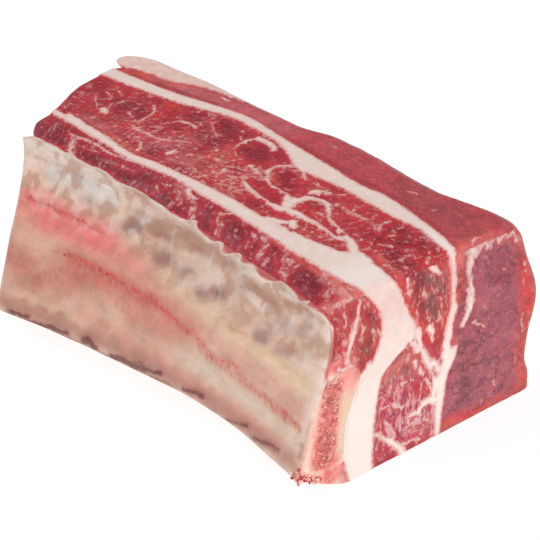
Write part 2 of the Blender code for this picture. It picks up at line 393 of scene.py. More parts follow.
@dataclass(frozen=True)
class Layer:
    """One layer: the room between two borders, each moved across by its offset, and two heights."""

    inner: Border
    outer: Border
    inner_offset: Callable = constant(0)
    outer_offset: Callable = constant(0)
    foot: Callable = constant(0)
    head: Callable = constant(HEIGHT)
    first_station: float = 0.0
    far_form: Knots = ((0, 0), (1, 0))

    def place(self, shares: Array) -> Array:
        """Find the places of points given as fractions of the layer's box.

        Args:
            shares: Fractions across, along and up, one point a row.

        Returns:
            Places across, along and up in millimetres, one point a row.
        """
        column, station, level = shares.T
        share = blend(self.first_station, 1, station)
        height = blend(self.foot(column, share), self.head(column, share), level)
        length = blend(self.inner.length(height), self.outer.length(height), column)
        length = length + smooth_curve(self.far_form, column) * share**6

        def across(along: Array) -> Array:
            """Return the places across at distances along."""
            inner = self.inner.across(along, height) + self.inner_offset(along)
            outer = self.outer.across(along, height) + self.outer_offset(along)
            return blend(inner, outer, column)

        unrounded = share * length
        inset = (
            rim_inset(TOP_RIM, HEIGHT - height)
            + rim_inset(INNER_RIM, across(unrounded) - INNER_FACE.across(unrounded, height))
            + rim_inset(OUTER_RIM, OUTER_SIDE.across(unrounded, height) - across(unrounded))
        )
        along = inset + share * (length - 2 * inset)
        return np.stack([across(along), along, height], axis=1)


def pairs(first: Array, second: Array) -> Array:
    """Return every pair of two lists, one a row."""
    return np.stack([side.ravel() for side in np.meshgrid(first, second, indexing="ij")], 1)


@dataclass(frozen=True)
class Skin:
    """The closed surface of a unit box, cut finely on the sides that show and coarsely on the rest."""

    samples: tuple[Array, Array, Array]
    sizes: Triple
    fine: tuple[Side, ...]

    def fine_patch(self, first: Array, second: Array) -> tuple[Array, Array]:
        """Cut one side into four-sided cells.

        Args:
            first: Fractions along the side's first direction.
            second: Fractions along its second direction.

        Returns:
            The pairs of fractions, and the corners of each cell.
        """
        index = np.arange(len(first) * len(second)).reshape(len(first), -1)
        corners = (index[:-1, :-1], index[1:, :-1], index[1:, 1:], index[:-1, 1:])
        return pairs(first, second), np.stack([corner.ravel() for corner in corners], 1)

    def coarse_patch(self, first: Array, second: Array, size: Array) -> tuple[Array, Array]:
        """Cut one side into triangles that are fine at its rim and coarse inside.

        Args:
            first: Fractions along the side's first direction.
            second: Fractions along its second direction.
            size: The side's two sizes in millimetres.

        Returns:
            The pairs of fractions, and the corners of each triangle.
        """
        ends = np.array([0, 1])
        step = slice(COARSE_STEP, -COARSE_STEP, COARSE_STEP)
        points = np.concatenate([
            pairs(first, ends[:1]), pairs(first, ends[1:]), pairs(ends, second[1:-1]),
            pairs(first[step], second[step]),
        ])
        found = delaunay_2d_cdt([Vector(p) for p in (points * size).tolist()], [], [], 0, 1e-9)
        source = [ids[0] for ids in found[3]]
        faces = np.array([[source[k] for k in face] for face in found[2]])
        a, b, c = (points[faces[:, k]] for k in range(3))
        turned = np.cross(b - a, c - a) < 0
        faces[turned] = faces[turned][:, ::-1]
        return points, faces

    def patch(self, side: Side) -> tuple[Array, Array]:
        """Cut one side of the box.

        Args:
            side: The side to cut.

        Returns:
            Fractions across, along and up, one point a row, and the corners of each face.
        """
        axis, end = side.value
        u_axis, v_axis = (axis + 1) % 3, (axis + 2) % 3
        first, second = self.samples[u_axis], self.samples[v_axis]
        if side in self.fine:
            spots, faces = self.fine_patch(first, second)
        else:
            size = np.array([self.sizes[u_axis], self.sizes[v_axis]])
            spots, faces = self.coarse_patch(first, second, size)
        points = np.empty((len(spots), 3))
        points[:, axis] = end
        points[:, [u_axis, v_axis]] = spots
        return points, faces if end else faces[:, ::-1]

    def build(self) -> tuple[Array, list[list[int]]]:
        """Cut all six sides and join them along their edges.

        Returns:
            Fractions across, along and up, one point a row, and the corners of each face.
        """
        patches = [self.patch(side) for side in Side]
        points = np.concatenate([patch[0] for patch in patches])
        _, first, index = np.unique(
            np.round(points * 1e7).astype(np.int64), axis=0, return_index=True, return_inverse=True
        )
        index = index.reshape(-1)
        faces, offset = [], 0
        for patch_points, patch_faces in patches:
            faces += index[patch_faces + offset].tolist()
            offset += len(patch_points)
        return points[first], faces


def spaced(size: float, step: float, rim: bool = False) -> Array:
    """Space samples evenly over a size, closer at a rounded rim.

    Args:
        size: The size to cover, in millimetres.
        step: The distance between samples, in millimetres.
        rim: Whether the size ends at a rounded rim.

    Returns:
        The samples as fractions of the size.
    """
    even = np.linspace(0, 1, max(2, round(size / step)) + 1)
    close = 1 - np.array([0.05, 0.14, 0.28]) / size
    return np.unique(np.concatenate([even, close])) if rim else even


class Tissue(Enum):
    """What a stroke lays down on a cut face."""

    FAT = 1
    FILM = 0
    MEAT = -1


@dataclass(frozen=True)
class Stroke:
    """A vein, a fleck or an island on a face: a line through points, with a width at each of its ends."""

    width: float
    points: Knots
    end_width: float

    def fat(self, places: Array) -> Array:
        """Measure how deep places lie in the stroke's fat, less where thin veins let the meat show through.

        Args:
            places: Places on the face, one a row.

        Returns:
            The depth in millimetres, negative outside.
        """
        widest = max(self.width, self.end_width)
        slimmer = VEIN_SHRINK * max(0, 1 - widest / FULL_VEIN)
        return np.minimum(self.inside(places) - slimmer, VEIN_DEPTH + DEPTH_GROWTH * max(0, widest - 1))

    def inside(self, places: Array) -> Array:
        """Measure how deep places lie inside the stroke.

        Args:
            places: Places on the face, one a row.

        Returns:
            The depth in millimetres, negative outside.
        """
        path = np.array(self.points, float)
        half_widths = np.linspace(self.width, self.end_width, len(path)) / 2
        if len(path) == 1:
            return half_widths[0] - np.hypot(*(places - path[0]).T)
        best = np.full(len(places), -np.inf)
        for start, end, low, high in zip(path, path[1:], half_widths, half_widths[1:]):
            run = end - start
            share = np.clip((places - start) @ run / (run @ run), 0, 1)
            distance = np.hypot(*(places - start - share[:, None] * run).T)
            best = np.maximum(best, blend(low, high, share) - distance)
        return best


@dataclass(frozen=True)
class Shade:
    """A soft area of colour on a face."""

    hue: Hue
    stroke: Stroke
    strength: float

    def weight(self, places: Array) -> Array:
        """Return how strongly the colour shows at each place."""
        reach = max(self.stroke.width * 0.45, 0.4)
        return self.strength * ramp(self.stroke.inside(places), -reach, reach)


def stroke(width: float, *rest: float | tuple) -> Stroke:
    """Return a stroke from its width, perhaps another width at its end, and its points."""
    tapered = not isinstance(rest[0], tuple)
    return Stroke(width, rest[tapered:], rest[0] if tapered else width)


def strokes(*rows: tuple) -> tuple[Stroke, ...]:
    """Return a stroke for each row of its width, perhaps another at its end, and its points."""
    return tuple(stroke(*row) for row in rows)


def shades(*rows: tuple) -> tuple[Shade, ...]:
    """Return a shade for each row of its hue, width, strength and points."""
    return tuple(Shade(hue, stroke(width, *points), strength) for hue, width, strength, *points in rows)


@dataclass(frozen=True)
class Picture:
    """What shows on one face: veins and islands of tissue, and soft areas of colour."""

    layers: tuple[tuple[Tissue, tuple[Stroke, ...]], ...]
    shades: tuple[Shade, ...]

    def laid(self, fatness: Array, tint: Array, places: Array) -> tuple[Array, Array]:
        """Draw the veins and islands over the seams, and the shades over the tint.

        Args:
            fatness: The depth inside fat so far, in millimetres, negative in meat.
            tint: The colours so far, one a row.
            places: Places on the face, one a row.

        Returns:
            The depth and the colours with the picture drawn.
        """
        for tissue, lines in self.layers:
            for line in lines:
                if tissue is Tissue.MEAT:
                    fatness = np.minimum(fatness, -line.inside(places))
                elif tissue is Tissue.FILM:
                    fatness = np.maximum(fatness, np.minimum(line.inside(places) - FILM_SHRINK, FILM_DEPTH))
                else:
                    fatness = np.maximum(fatness, line.fat(places))
        for shade in self.shades:
            tint = blend(tint, shade.hue.linear(), shade.weight(places)[:, None])
        return fatness, tint


# Places on the top face are pairs of (along, across).
TOP_FILMS = strokes(
    # Pale corner of the strip and the film round its first lobe
    (1.8, 1.2, (-0.6, 3.2), (0.2, 6.4), (0.2, 10.8)), (0.7, (-1, 11.9), (3.4, 12), (4.6, 11.4)),
    (0.8, (-1, 13.6), (4.2, 13.7)), (0.7, (-1, 15), (6, 15), (7.4, 14), (7, 12.2)),
    (1.4, 0.9, (4.8, 9.4), (7.4, 11.4), (10.4, 12.6), (13.6, 13.2)),
    (1.1, 1.4, (0.8, 5.9), (3.8, 6.5), (5.2, 8.6)),
    # Films between the lobes of the strip
    (1.6, 1.9, (14, 1.4), (16, 4), (18, 6.8), (19.4, 8.8)),
    (0.8, 1.1, (17.8, 4.4), (20, 6.8), (22, 9), (24.6, 10.9)), (1.8, 1, (18.2, 9.4), (22.4, 9.7)),
    (0.9, 1.8, (25.4, 2.4), (27, 5), (28.4, 7), (30, 8.8), (33.4, 11.2)), (0.5, (31, 3.4), (33.2, 5.6)),
    (0.5, (33.4, 7.4), (36.4, 10.2)),
    (2.2, 0.8, (36.6, -0.4), (39.4, 0.8), (41.2, 2.2), (43.2, 4.3), (44.8, 5.6)),
    (0.6, 0.9, (44.6, 4.6), (47, 6.2), (48.6, 7.8)),
    (1, 2.2, (50.6, 0.6), (53, 2.6), (56, 4.8), (59, 6.2)), (1.5, 1, (58.4, 2), (61, 3.8), (63.6, 4.5)),
    (1.2, 0.7, (66.4, 3.9), (69.2, 3.6)), (0.7, 0.4, (66.4, 0.6), (69.2, 1.6)),
    (0.6, (79, 0.5), (83.6, -0.3)), (1.6, 1.9, (103.4, -2.6), (100.6, -4.8), (99, -6.8), (95.8, -8.4)),
    (0.6, (93.2, -1.9), (95.6, -3), (97.6, -3.4)),
    # Wide soft joins in the middle muscle
    (2.6, 1.8, (40.4, 27), (42.6, 26)), (2.4, 2, (53.4, 20.2), (56, 20.6)),
    (2.2, 1.4, (41.2, 34.4), (43.4, 32.6)), (2.6, 2.2, (56, 26.6), (60.4, 27.2)),
    (1.8, 1.8, (49.4, 35.4), (52.4, 36.6), (55.2, 36.2)), (1.2, (18.4, 35.2), (19.4, 37.4), (19.6, 40)),
    (1.2, (19.6, 36), (24.4, 35.4), (28, 34.4), (33.4, 34.2)), (1.3, (40.4, 36.2), (45.4, 35.8)),
)
TOP_VEINS = strokes(
    # Strip above the rib
    (0.9, 0.4, (3.6, 0.6), (4.3, 2.6)),
    (0.9, 1.3, (84.4, 2.3), (88, 1.2), (92, 0.5), (96, 0.2), (99, -0.6), (102, -1.9), (105.6, -2.9)),
    (1.2, 0.6, (28.4, -0.8), (30.2, 1.2)), (1.2, 0.8, (46.1, 10.6), (46.8, 8.8), (47.4, 7.8)),
    (1.4, 2, (57.6, 6.6), (60, 6.6), (62.6, 7.6)),
    (1, 1.5, (102.6, -3), (100.8, -4.6), (99.4, -6.4), (97.6, -7.6), (95.6, -8.6)),
    # Tongue of fat, white island and the ring round the red lens
    (4.4, 3, (9, 23.4), (13.4, 23.8), (16, 25)),
    (3, 1.2, (16, 25.2), (18.6, 25.9), (22, 26.2), (25, 27), (28, 28)),
    (1.2, 1.6, (28, 28), (31, 29.6), (33.4, 31.2)), (2.2, 1.4, (34.2, 31.9), (36, 32.2), (37.8, 32)),
    (1.4, 2.6, (37.8, 31.9), (39.7, 31), (40.8, 29.4), (41, 27)),
    (3.2, 2.6, (41.6, 26.6), (41.6, 25), (41, 23.2)), (1.6, 3.4, (44.4, 26.1), (42, 25.4), (40.2, 23.8)),
    (1.7, 1.6, (19.8, 25.2), (22.8, 24), (26.3, 24.1), (30.2, 24.4)),
    (1.7, 2.4, (30.2, 24.4), (31.8, 23.8), (34, 23.2)), (2.4, 3, (34, 23.2), (37, 22.8), (40.2, 22)),
    (2.6, 1.6, (40, 21.8), (42.1, 20.7), (44.4, 20.2)),
    (1.3, 1.7, (44.4, 20.4), (49, 20.2), (52.4, 20.2)), (2.2, 1.8, (53.4, 20.4), (55.6, 20.8)),
    (1.2, 0.8, (55.6, 21), (57.6, 21.8), (59.4, 22.8)), (1.6, 2, (34.2, 20.6), (34.6, 22.6)),
    # Veins towards the near end
    (0.6, (18.3, 35), (19.2, 37.2), (19.6, 40)),
    (0.6, (16.8, 34.2), (18.6, 35.8), (21.6, 36.2), (24.4, 35.4), (27.4, 34.4), (33, 34.2)),
    (0.5, (22.6, 36.6), (24.4, 38.2)), (0.7, 0.4, (29.4, 34.4), (29.4, 37.6), (29, 40.6)),
    (0.8, 0.4, (0.9, 35.8), (1.8, 38.2), (3.8, 39)),
    (0.4, (3.4, 34.3), (5, 35.2), (6.5, 36.6), (7.8, 34.8)), (1, 0.5, (11, 33), (12.6, 31)),
    (0.7, 0.4, (14.3, 29.4), (16.2, 30.4)), (0.9, 0.6, (10.6, 29.6), (11.4, 27.8)),
    (0.8, 0.4, (14, 36.8), (14.8, 35)), (0.6, (9.3, 39.5)), (0.8, (17.9, 28)),
    (0.9, 0.6, (-1, 26.6), (0.8, 25.8)), (0.7, 0.5, (36.2, 38.4), (37.6, 36.6), (39.4, 35.8)),
    (0.9, 1.4, (39.4, 35.8), (40.6, 34.6)), (2.4, 1.8, (41.2, 33.6), (42.2, 32.2)),
    (0.5, (40.4, 35.8), (43.2, 36.4), (46.4, 36.2)),
    # Vein round the middle blocks
    (1.1, 1.6, (55.6, 36.6), (57, 34), (57.9, 31.8), (57.8, 29.8), (56.4, 28.2), (54.8, 27.2)),
    (1.7, 1.1, (54.2, 26.8), (52, 26)), (1, 1.2, (52, 26), (48, 26.4), (44.6, 26.3), (42, 26.9)),
    (0.9, 1.5, (55, 27), (58.2, 26.6), (60.2, 27.6)), (1.9, (62.3, 27.4)),
    (0.8, 1.3, (48, 34.6), (49.8, 36.2), (52.4, 37.4)),
    (1.6, 2.2, (65.2, 37.4), (67, 38.4), (69.6, 38.6), (72.8, 37.6)),
    (1.4, 0.8, (73.2, 37), (74, 34.6), (73.5, 31.6), (72.6, 28.6)),
    (0.6, (66.6, 27.4), (69.4, 27.6), (71.4, 28.6)),
    # Flecks in the middle
    (1.7, (64.8, 20.4)), (1.2, (66.4, 17.8)), (1.5, (74.4, 24.8)),
    (1.3, 0.8, (69.6, 22.6), (71.4, 22.2)), (1.4, (76.8, 17.8)), (1.6, 2, (81.1, 15.4), (81.3, 13.4)),
    (0.6, (58, 18.6), (59.4, 17), (60.8, 15.6)), (0.8, 0.5, (72.6, 14.6), (76, 13.6), (79, 11.4)),
    (0.9, 0.6, (81, 29.3), (84, 30.5), (87.2, 32.2)), (0.9, (78.5, 36.4)), (0.6, (74.6, 33.4), (77, 34.6)),
    # Veins towards the far end
    (0.9, 1.2, (82, 21), (85, 19.2), (87.6, 16.4), (90, 14.9), (93, 14.6), (96, 13.8), (99.6, 13.8)),
    (1.5, 0.7, (87.4, 7.4), (88.2, 9.3), (90.4, 10.6), (93, 9.8)),
    (1.2, 0.8, (88.4, 27), (91, 27.4), (93.2, 25.9), (94.4, 24.6)),
    (0.6, (93.6, 26), (95.6, 27), (97.2, 28.6), (97.8, 30.6)), (0.8, (86.5, 23.4)), (0.8, (88.3, 20.2)),
    (0.7, (94, 19.6)), (0.8, 1.1, (100.2, 15.8), (100.6, 18), (101.2, 21.6), (103, 23.4), (105.6, 25)),
    (1, 0.6, (105.4, 16.6), (106.8, 16.9)), (1.7, 2.2, (110.6, 11), (111.6, 12), (112.6, 12)),
    (1, 0.6, (112.2, 13.6), (113.6, 15.4)),
    (0.7, 0.5, (113.8, 10.4), (116.4, 12.4), (118.6, 12.8), (121.4, 14.4)),
    (0.6, (116, 20.3), (118.2, 21.1), (121.4, 21.4)), (1.1, 0.6, (117.4, 17.6), (121.6, 17.9)),
    (0.9, (113.6, 22.6)), (1.6, 1.2, (103.2, 3.2), (104.8, 3.8)),
    (1, 2.6, (96, 4.6), (104, 3.6), (110, 2.6), (115, 2)),
    # Outer meat
    (1, 0.8, (0.7, 50.8), (1.6, 52.4), (0.6, 53.8)), (0.5, (16.6, 52.6), (17.4, 50.8)),
    (0.9, 0.5, (25.4, 54), (28.6, 52.6)), (0.8, 0.4, (56.4, 51.3), (59.6, 52)),
    (1.5, 0.9, (95.8, 43), (98.4, 42.9)),
)
TOP_ISLANDS = strokes(
    (2.4, 3.2, (17, 22.6), (19, 22.2)), (3.4, 4.4, (19, 22.2), (23, 21.8), (27, 21.3)),
    (4.4, 3.4, (27, 21.3), (29.6, 21)), (0.9, 0.5, (30.6, 17.4), (33.8, 17)),
    (0.8, 0.5, (36, 19.6), (35, 20.8), (33.4, 22)), (4, 4.4, (37, 27), (35, 27.3), (33.6, 27.4)),
    (4, 1.6, (33.6, 27.4), (31, 26.9), (28.6, 26.2)), (1.6, (22, 26.3)),
    (1.9, 1.3, (25.4, 26.1), (26.8, 26.1)),
    (1.7, 3.4, (37, 19.6), (40, 17.8), (43, 17.6), (48, 17.6), (53, 17.4)), (1.7, (56.7, 27.6)),
    (1.2, 0.8, (50.6, 35.4), (52.4, 36)),
)
TOP_BRIDGES = strokes(
    (3, 2.8, (32.2, 19.1), (33.5, 19.7)), (3, 2.2, (38.4, 15.6), (35.8, 17.3), (34.6, 18.4)),
    (1.6, 1, (38, 15), (35.4, 16.6), (34.4, 17.4)),
    (0.35, (17.6, 21.6), (20.4, 21.5), (22.8, 20.9)), (0.3, (24.6, 22.8), (27.2, 22.6), (29.6, 21.6)),
    (0.35, (31, 26.4), (34.6, 26.3), (37.6, 26.2)),
)
TOP_SHADES = shades(
    (Hue.PURPLE, 5, 0.5, (9, 7), (14, 5.8)), (Hue.MAUVE, 2.2, 0.5, (6, 3.4), (9, 4.4)),
    (Hue.MAUVE, 2.6, 0.6, (20, 1.8), (24.6, 4)), (Hue.DEEP, 3, 0.5, (22, 6), (27, 8)),
    (Hue.CORAL, 1.6, 0.8, (11, 11.8), (16, 12)), (Hue.CORAL, 1.8, 0.75, (18, 11.4), (24, 11.9), (31, 11.4)),
    (Hue.BLUSH, 5, 0.8, (-1, 12.6), (4, 13.2), (9, 13.4)),
    (Hue.BLUSH, 4, 0.8, (-1.6, 2), (-0.8, 9), (3, 11.6)),
    (Hue.CRIMSON, 2.4, 0.8, (2.4, 8.8), (3.6, 8.4)), (Hue.BROWN, 0.8, 0.6, (0.2, 12.9), (4.4, 13)),
    (Hue.CORAL, 1.2, 0.9, (-1, 14.3), (5.4, 14.6)), (Hue.CORAL, 2.2, 0.8, (5.2, 14.4), (5, 12.4)),
    (Hue.CORAL, 1.8, 0.9, (7.6, 13.2), (10.2, 13.4)), (Hue.CORAL, 2, 0.9, (-1.6, 7.6), (-1.2, 5)),
    (Hue.CRIMSON, 2.4, 0.45, (15, 1), (19, 3.4), (24, 7.4)),
    (Hue.PURPLE, 3.6, 0.35, (33, 3), (38, 4), (43, 5)), (Hue.MAUVE, 1.8, 0.5, (34, 1), (39, 4.4)),
    (Hue.MAUVE, 1.8, 0.45, (47, 3.4), (52, 4.2)), (Hue.PURPLE, 3, 0.4, (56, 0), (64, 0.4), (74, 1.4)),
    (Hue.MAUVE, 3, 0.5, (60, -1.4), (68, -0.4), (74, -2.4)),
    (Hue.ROSE, 1.8, 0.5, (84.6, -1.4), (88.6, -2.8)), (Hue.PURPLE, 3.6, 0.6, (90, -4), (97, -4.6)),
    (Hue.PURPLE, 4.4, 0.4, (104, -6), (109, -7.6)), (Hue.CRIMSON, 2.6, 0.95, (97.6, -8.8), (101, -8.2)),
    (Hue.ROSE, 2.4, 0.7, (59, 5.6), (66, 6.4)), (Hue.CRIMSON, 3, 0.6, (114, -4.4), (117.6, -4.6)),
    (Hue.CORAL, 2.6, 0.6, (-1, 26.6), (5, 26.8), (9, 27.6)), (Hue.PURPLE, 5, 0.4, (4, 32), (9, 31.4)),
    (Hue.CRIMSON, 4, 0.5, (0, 40), (2.4, 36)), (Hue.CRIMSON, 3.4, 0.5, (18, 24), (30, 23)),
    (Hue.CORAL, 2, 0.35, (24, 21), (30, 19.6)), (Hue.CRIMSON, 3.6, 0.55, (33, 29), (38, 27)),
    (Hue.CRIMSON, 4, 0.5, (47, 24), (52, 23)), (Hue.ORANGE, 2.4, 0.55, (52, 28.4), (55, 29.6)),
    (Hue.PURPLE, 7, 0.4, (63, 32), (69, 31)), (Hue.PURPLE, 6, 0.45, (76, 34), (84, 34.6)),
    (Hue.ORANGE, 4.6, 0.7, (69.6, 24.6), (72.6, 23)), (Hue.CORAL, 3, 0.5, (71.6, 26.6), (73.2, 29)),
    (Hue.CORAL, 7, 0.28, (64, 17), (72, 18), (79, 18)), (Hue.CRIMSON, 3, 0.7, (62, 14.6), (66, 14.2)),
    (Hue.CRIMSON, 3, 0.6, (75.6, 22.6), (79, 23.4)), (Hue.ROSE, 3.6, 0.4, (73, 14.6), (78, 14)),
    (Hue.ROSE, 6, 0.3, (84, 22), (87, 14)), (Hue.ORANGE, 3.4, 0.75, (100.6, 29.6), (103.6, 28.6)),
    (Hue.CRIMSON, 3, 0.6, (98.6, 27), (99.4, 20)), (Hue.CORAL, 3, 0.4, (86, 6), (97, 6), (103, 6.6)),
    (Hue.PURPLE, 8, 0.4, (105, 19), (117, 15)),
    (Hue.CRIMSON, 3, 0.85, (131, 22), (127.4, 14.6), (124.4, 8), (120.6, 2)),
    # Two small pink spots on the crimson far edge are painted highlights.
    (Hue.ROSE, 1.6, 0.8, (127, 16), (127.8, 16.4)), (Hue.ROSE, 1.4, 0.7, (124.4, 12), (125, 12.4)),
    (Hue.ROSE, 4, 0.4, (104, 6), (112, 5.4)), (Hue.CORAL, 3.4, 0.6, (0.4, 46), (1.4, 50), (0.6, 56)),
    (Hue.ORANGE, 2.4, 0.85, (106.6, 43.6), (108.4, 43.8)),
    (Hue.ORANGE, 2.8, 0.75, (124, 32.6), (128, 29.4), (131, 27.6)),
    (Hue.ORANGE, 2, 0.5, (112, 38), (119, 35.2), (124, 33.8)),
    (Hue.ROSE, 9, 0.28, (74, 47), (92, 43), (104, 39)), (Hue.GREY_BROWN, 12, 0.28, (8, 54), (26, 54)),
    (Hue.PALE_PINK, 4, 0.12, (108, 38), (132, 33)),
    (Hue.DEEP, 1.6, 0.45, (6, 47.3), (20, 48.4), (31, 48.2), (40, 46.4), (66, 45)),
    (Hue.DEEP, 1.4, 0.5, (96, 39.4), (106, 36.2), (116, 33)),
)
TOP_PICTURE = Picture(
    (
        (Tissue.FILM, TOP_FILMS), (Tissue.FAT, TOP_VEINS),
        (Tissue.MEAT, TOP_ISLANDS), (Tissue.FAT, TOP_BRIDGES),
    ),
    TOP_SHADES,
)

# Places on the near end are pairs of (across, height).
END_FILMS = strokes(
    (1.5, 0.9, (3.4, 58.6), (6.4, 57.4)), (1.2, 0.7, (8.8, 58.6), (10.6, 56.8)),
    (1.8, 1.4, (13.4, 58.4), (16.8, 56.2)), (0.9, 0.5, (4.6, 58), (5, 54.6), (6.4, 51.6)),
    (0.9, 0.5, (9.8, 58), (10.6, 54), (10.2, 50.4)), (1, (14.6, 52), (16.4, 48.4), (15.4, 44)),
    (1.8, (44.6, 57.6), (46.4, 57.9), (49.6, 57.6)), (0.8, 0.4, (52.6, 58.4), (53.4, 55.6)),
    (0.9, 0.4, (57.2, 57), (57.6, 54.8)), (0.8, 0.4, (61.6, 57), (62.2, 54.6)),
    (0.6, 0.4, (66.6, 54.6), (68.2, 52.4), (68.6, 50)), (0.5, (69.4, 46), (70.6, 42), (70.2, 38.6)),
    (0.5, (72, 30), (71.4, 26), (72.6, 22)),
)
END_VEINS = strokes(
    # Meat above the rib
    (0.9, 1.9, (15.2, 57.4), (14.5, 54.6), (13.8, 51), (13.6, 48.4)),
    (2.2, 1.5, (13.6, 48.4), (12.8, 45.4), (11.6, 42.4), (11.2, 40.2)),
    (1.2, 1.6, (11.2, 40.2), (12.8, 37.4), (14.2, 34.8), (15.4, 32.6)),
    (1.4, 1.8, (8.6, 39.2), (11.4, 38), (13.6, 36)),
    (3, (18.6, 35.6), (15.6, 31.6), (13.2, 25.6), (11.9, 19), (11.6, 9)),
    (0.5, (7.2, 51.6), (10.8, 51.8)), (0.4, (12.6, 42.4), (13.8, 41.6), (14.2, 43.4)),
    (0.4, (16.6, 39.4), (17.8, 38.4)),
    # Upper lobe
    (3, 1.2, (35.4, 61), (37, 58.4), (38.6, 56), (39.8, 54.4)),
    (1.2, 0.8, (29.2, 58.4), (29.8, 55.2), (30.8, 51.2)), (1.1, 0.8, (35, 50.4), (36, 48.6)),
    (0.6, (37.9, 51.6), (38.3, 50)), (0.8, 0.5, (37.2, 42.8), (38.2, 40.8)),
    (0.5, (40.3, 47.2), (41.4, 45.6), (42.2, 43.4)), (0.5, (33.2, 46.6), (33.8, 43.6)),
    (2.4, 0.8, (38.4, 38.6), (38.9, 36.4), (38.6, 33.6)),
    # Band between the lobes
    (3, 2.2, (31.2, 37.4), (32.4, 34.9), (34.6, 33.2)),
    (3.4, 2.2, (33.6, 39.4), (34.6, 36.4), (35.4, 33.6)),
    (1.8, 2.4, (35.2, 34), (36.8, 30.6), (38.4, 27.4)),
    (3.4, 3.8, (39.4, 26.2), (41.4, 23.4), (42.4, 18.6)),
    (3.6, 1.2, (42.4, 19), (41.2, 14.6), (42.4, 10.4)), (0.9, 0.6, (43.2, 9.6), (43.6, 5), (43.2, 1)),
    (2.2, 2, (44.2, 36), (43.4, 29), (43.8, 22)),
    # Lower lobe
    (1.7, 1.7, (21, 11.6), (23.2, 10.2), (25.6, 7.8)),
    (2, 2.8, (25.6, 7.8), (27.4, 5.8), (29.6, 3.2), (31.4, 0.6)),
    (1.5, 0.9, (27.8, 6.4), (27.9, 10), (26.4, 12.8), (24.3, 14.5)),
    (1.7, 0.9, (28.4, 4.8), (31.1, 3.6), (34.7, 2.9), (37.6, 1.9)),
    (1.2, 2.2, (32.4, 12.2), (34.2, 12.4), (36.3, 11.8)),
    (2.4, 2.4, (36.3, 12), (37.4, 13.6), (38.6, 14.6)), (2.6, 3.2, (38, 14.2), (40.4, 13.8), (42.6, 13.2)),
    (0.8, 1.1, (32, 9.2), (34.7, 8.7), (37.5, 7.7), (40.2, 7.7)),
    (0.8, 1, (41.6, 10.6), (42.6, 7.2), (42.6, 3.8), (41.4, 1.6)),
    (1, 1.3, (22.8, 19.6), (25.3, 19.6), (28, 18)), (1.4, 0.9, (28.6, 18), (30.7, 16.6), (30.2, 15.2)),
    (1, 0.7, (32.6, 17.8), (32, 15.4)), (1.3, 0.9, (29.4, 24.8), (31.4, 24.6)),
    (1.1, 0.8, (32.8, 24), (34.8, 23.2)), (0.9, 0.6, (27.8, 24), (27.2, 21.6), (27.8, 19.6)),
    (0.9, 0.7, (31.8, 22.6), (33.2, 18.8), (32.9, 16.2)),
    (0.9, 1, (36, 22.6), (36.8, 18.2), (36.4, 15.8)), (1.8, 1.2, (33.6, 29.8), (34.2, 27.6)),
    (1.5, 1.3, (35.8, 26.8), (36.8, 24.2)), (1.1, 1.5, (37.6, 22.6), (39.6, 18.8), (41, 16)),
    (0.7, 0.5, (28.6, 29.6), (29.8, 32)), (0.8, 0.6, (28.6, 13.4), (30.2, 11.2)),
    (0.6, (30, 22.4), (29.4, 19.8)), (0.6, (25.4, 24.4), (24.6, 21.8)),
    (0.6, (33.4, 6.6), (35.8, 5.4), (38.6, 5)), (0.6, (24.6, 5.4), (25.4, 2.6)),
    # Second streak in the outer seam and beyond
    (2.4, 3.2, (49, 60.6), (50, 57.6), (51.4, 55.6)), (2.8, 1.4, (51.2, 55.8), (50.4, 52.6), (50.2, 49.4)),
    (1.4, 3.2, (50.2, 49.4), (50.9, 45.6), (51.4, 41.4)),
    (3.2, 1.6, (51.4, 41.2), (51, 37.6), (49.8, 34)), (1.3, 0.6, (51.6, 40.2), (55, 40.5)),
    (
        1.5, 1, (51, 57), (52.4, 58.4), (53.4, 56.6), (54.8, 58.4), (56.4, 55.8), (58.7, 58.8),
        (59.9, 55.8), (61.4, 58.6), (62.6, 55.6), (64, 57.2), (65.8, 54),
    ),
    (0.9, (66.8, 53)), (1.1, 0.5, (53.4, 34.2), (56, 31.6), (58.6, 29.4)),
    (0.7, (61.8, 46.6), (63, 46)), (0.4, (54.2, 20.6), (54.8, 19.2)), (0.4, (64.6, 20), (65.6, 18.2)),
    (0.8, 0.5, (63.4, 9.6), (63.6, 6.8)), (0.5, (59.2, 5), (60, 3)), (0.9, 0.5, (71, 14), (71.4, 11.4)),
    (1, 0.5, (74.4, 24.6), (74.8, 21.4)),
)
END_ISLANDS = strokes(
    (2.4, 2, (46.4, 59.4), (46.9, 52), (47.6, 44), (48, 38.4)),
    (2, 2.2, (48, 38.6), (47.2, 34.6), (47.4, 29.6)), (0.8, 1, (31.2, 36.4), (32, 33.6), (33.6, 31.4)),
    (0.7, 0.4, (39.6, 30.2), (41.2, 27.4), (42.4, 25.6)), (0.6, 0.3, (40, 24.2), (42, 21.6)),
    (2.4, 0.8, (41, 38), (41.4, 33), (42.2, 29)), (1.3, 0.6, (37, 36.8), (37.4, 33.4), (38.8, 30.4)),
)
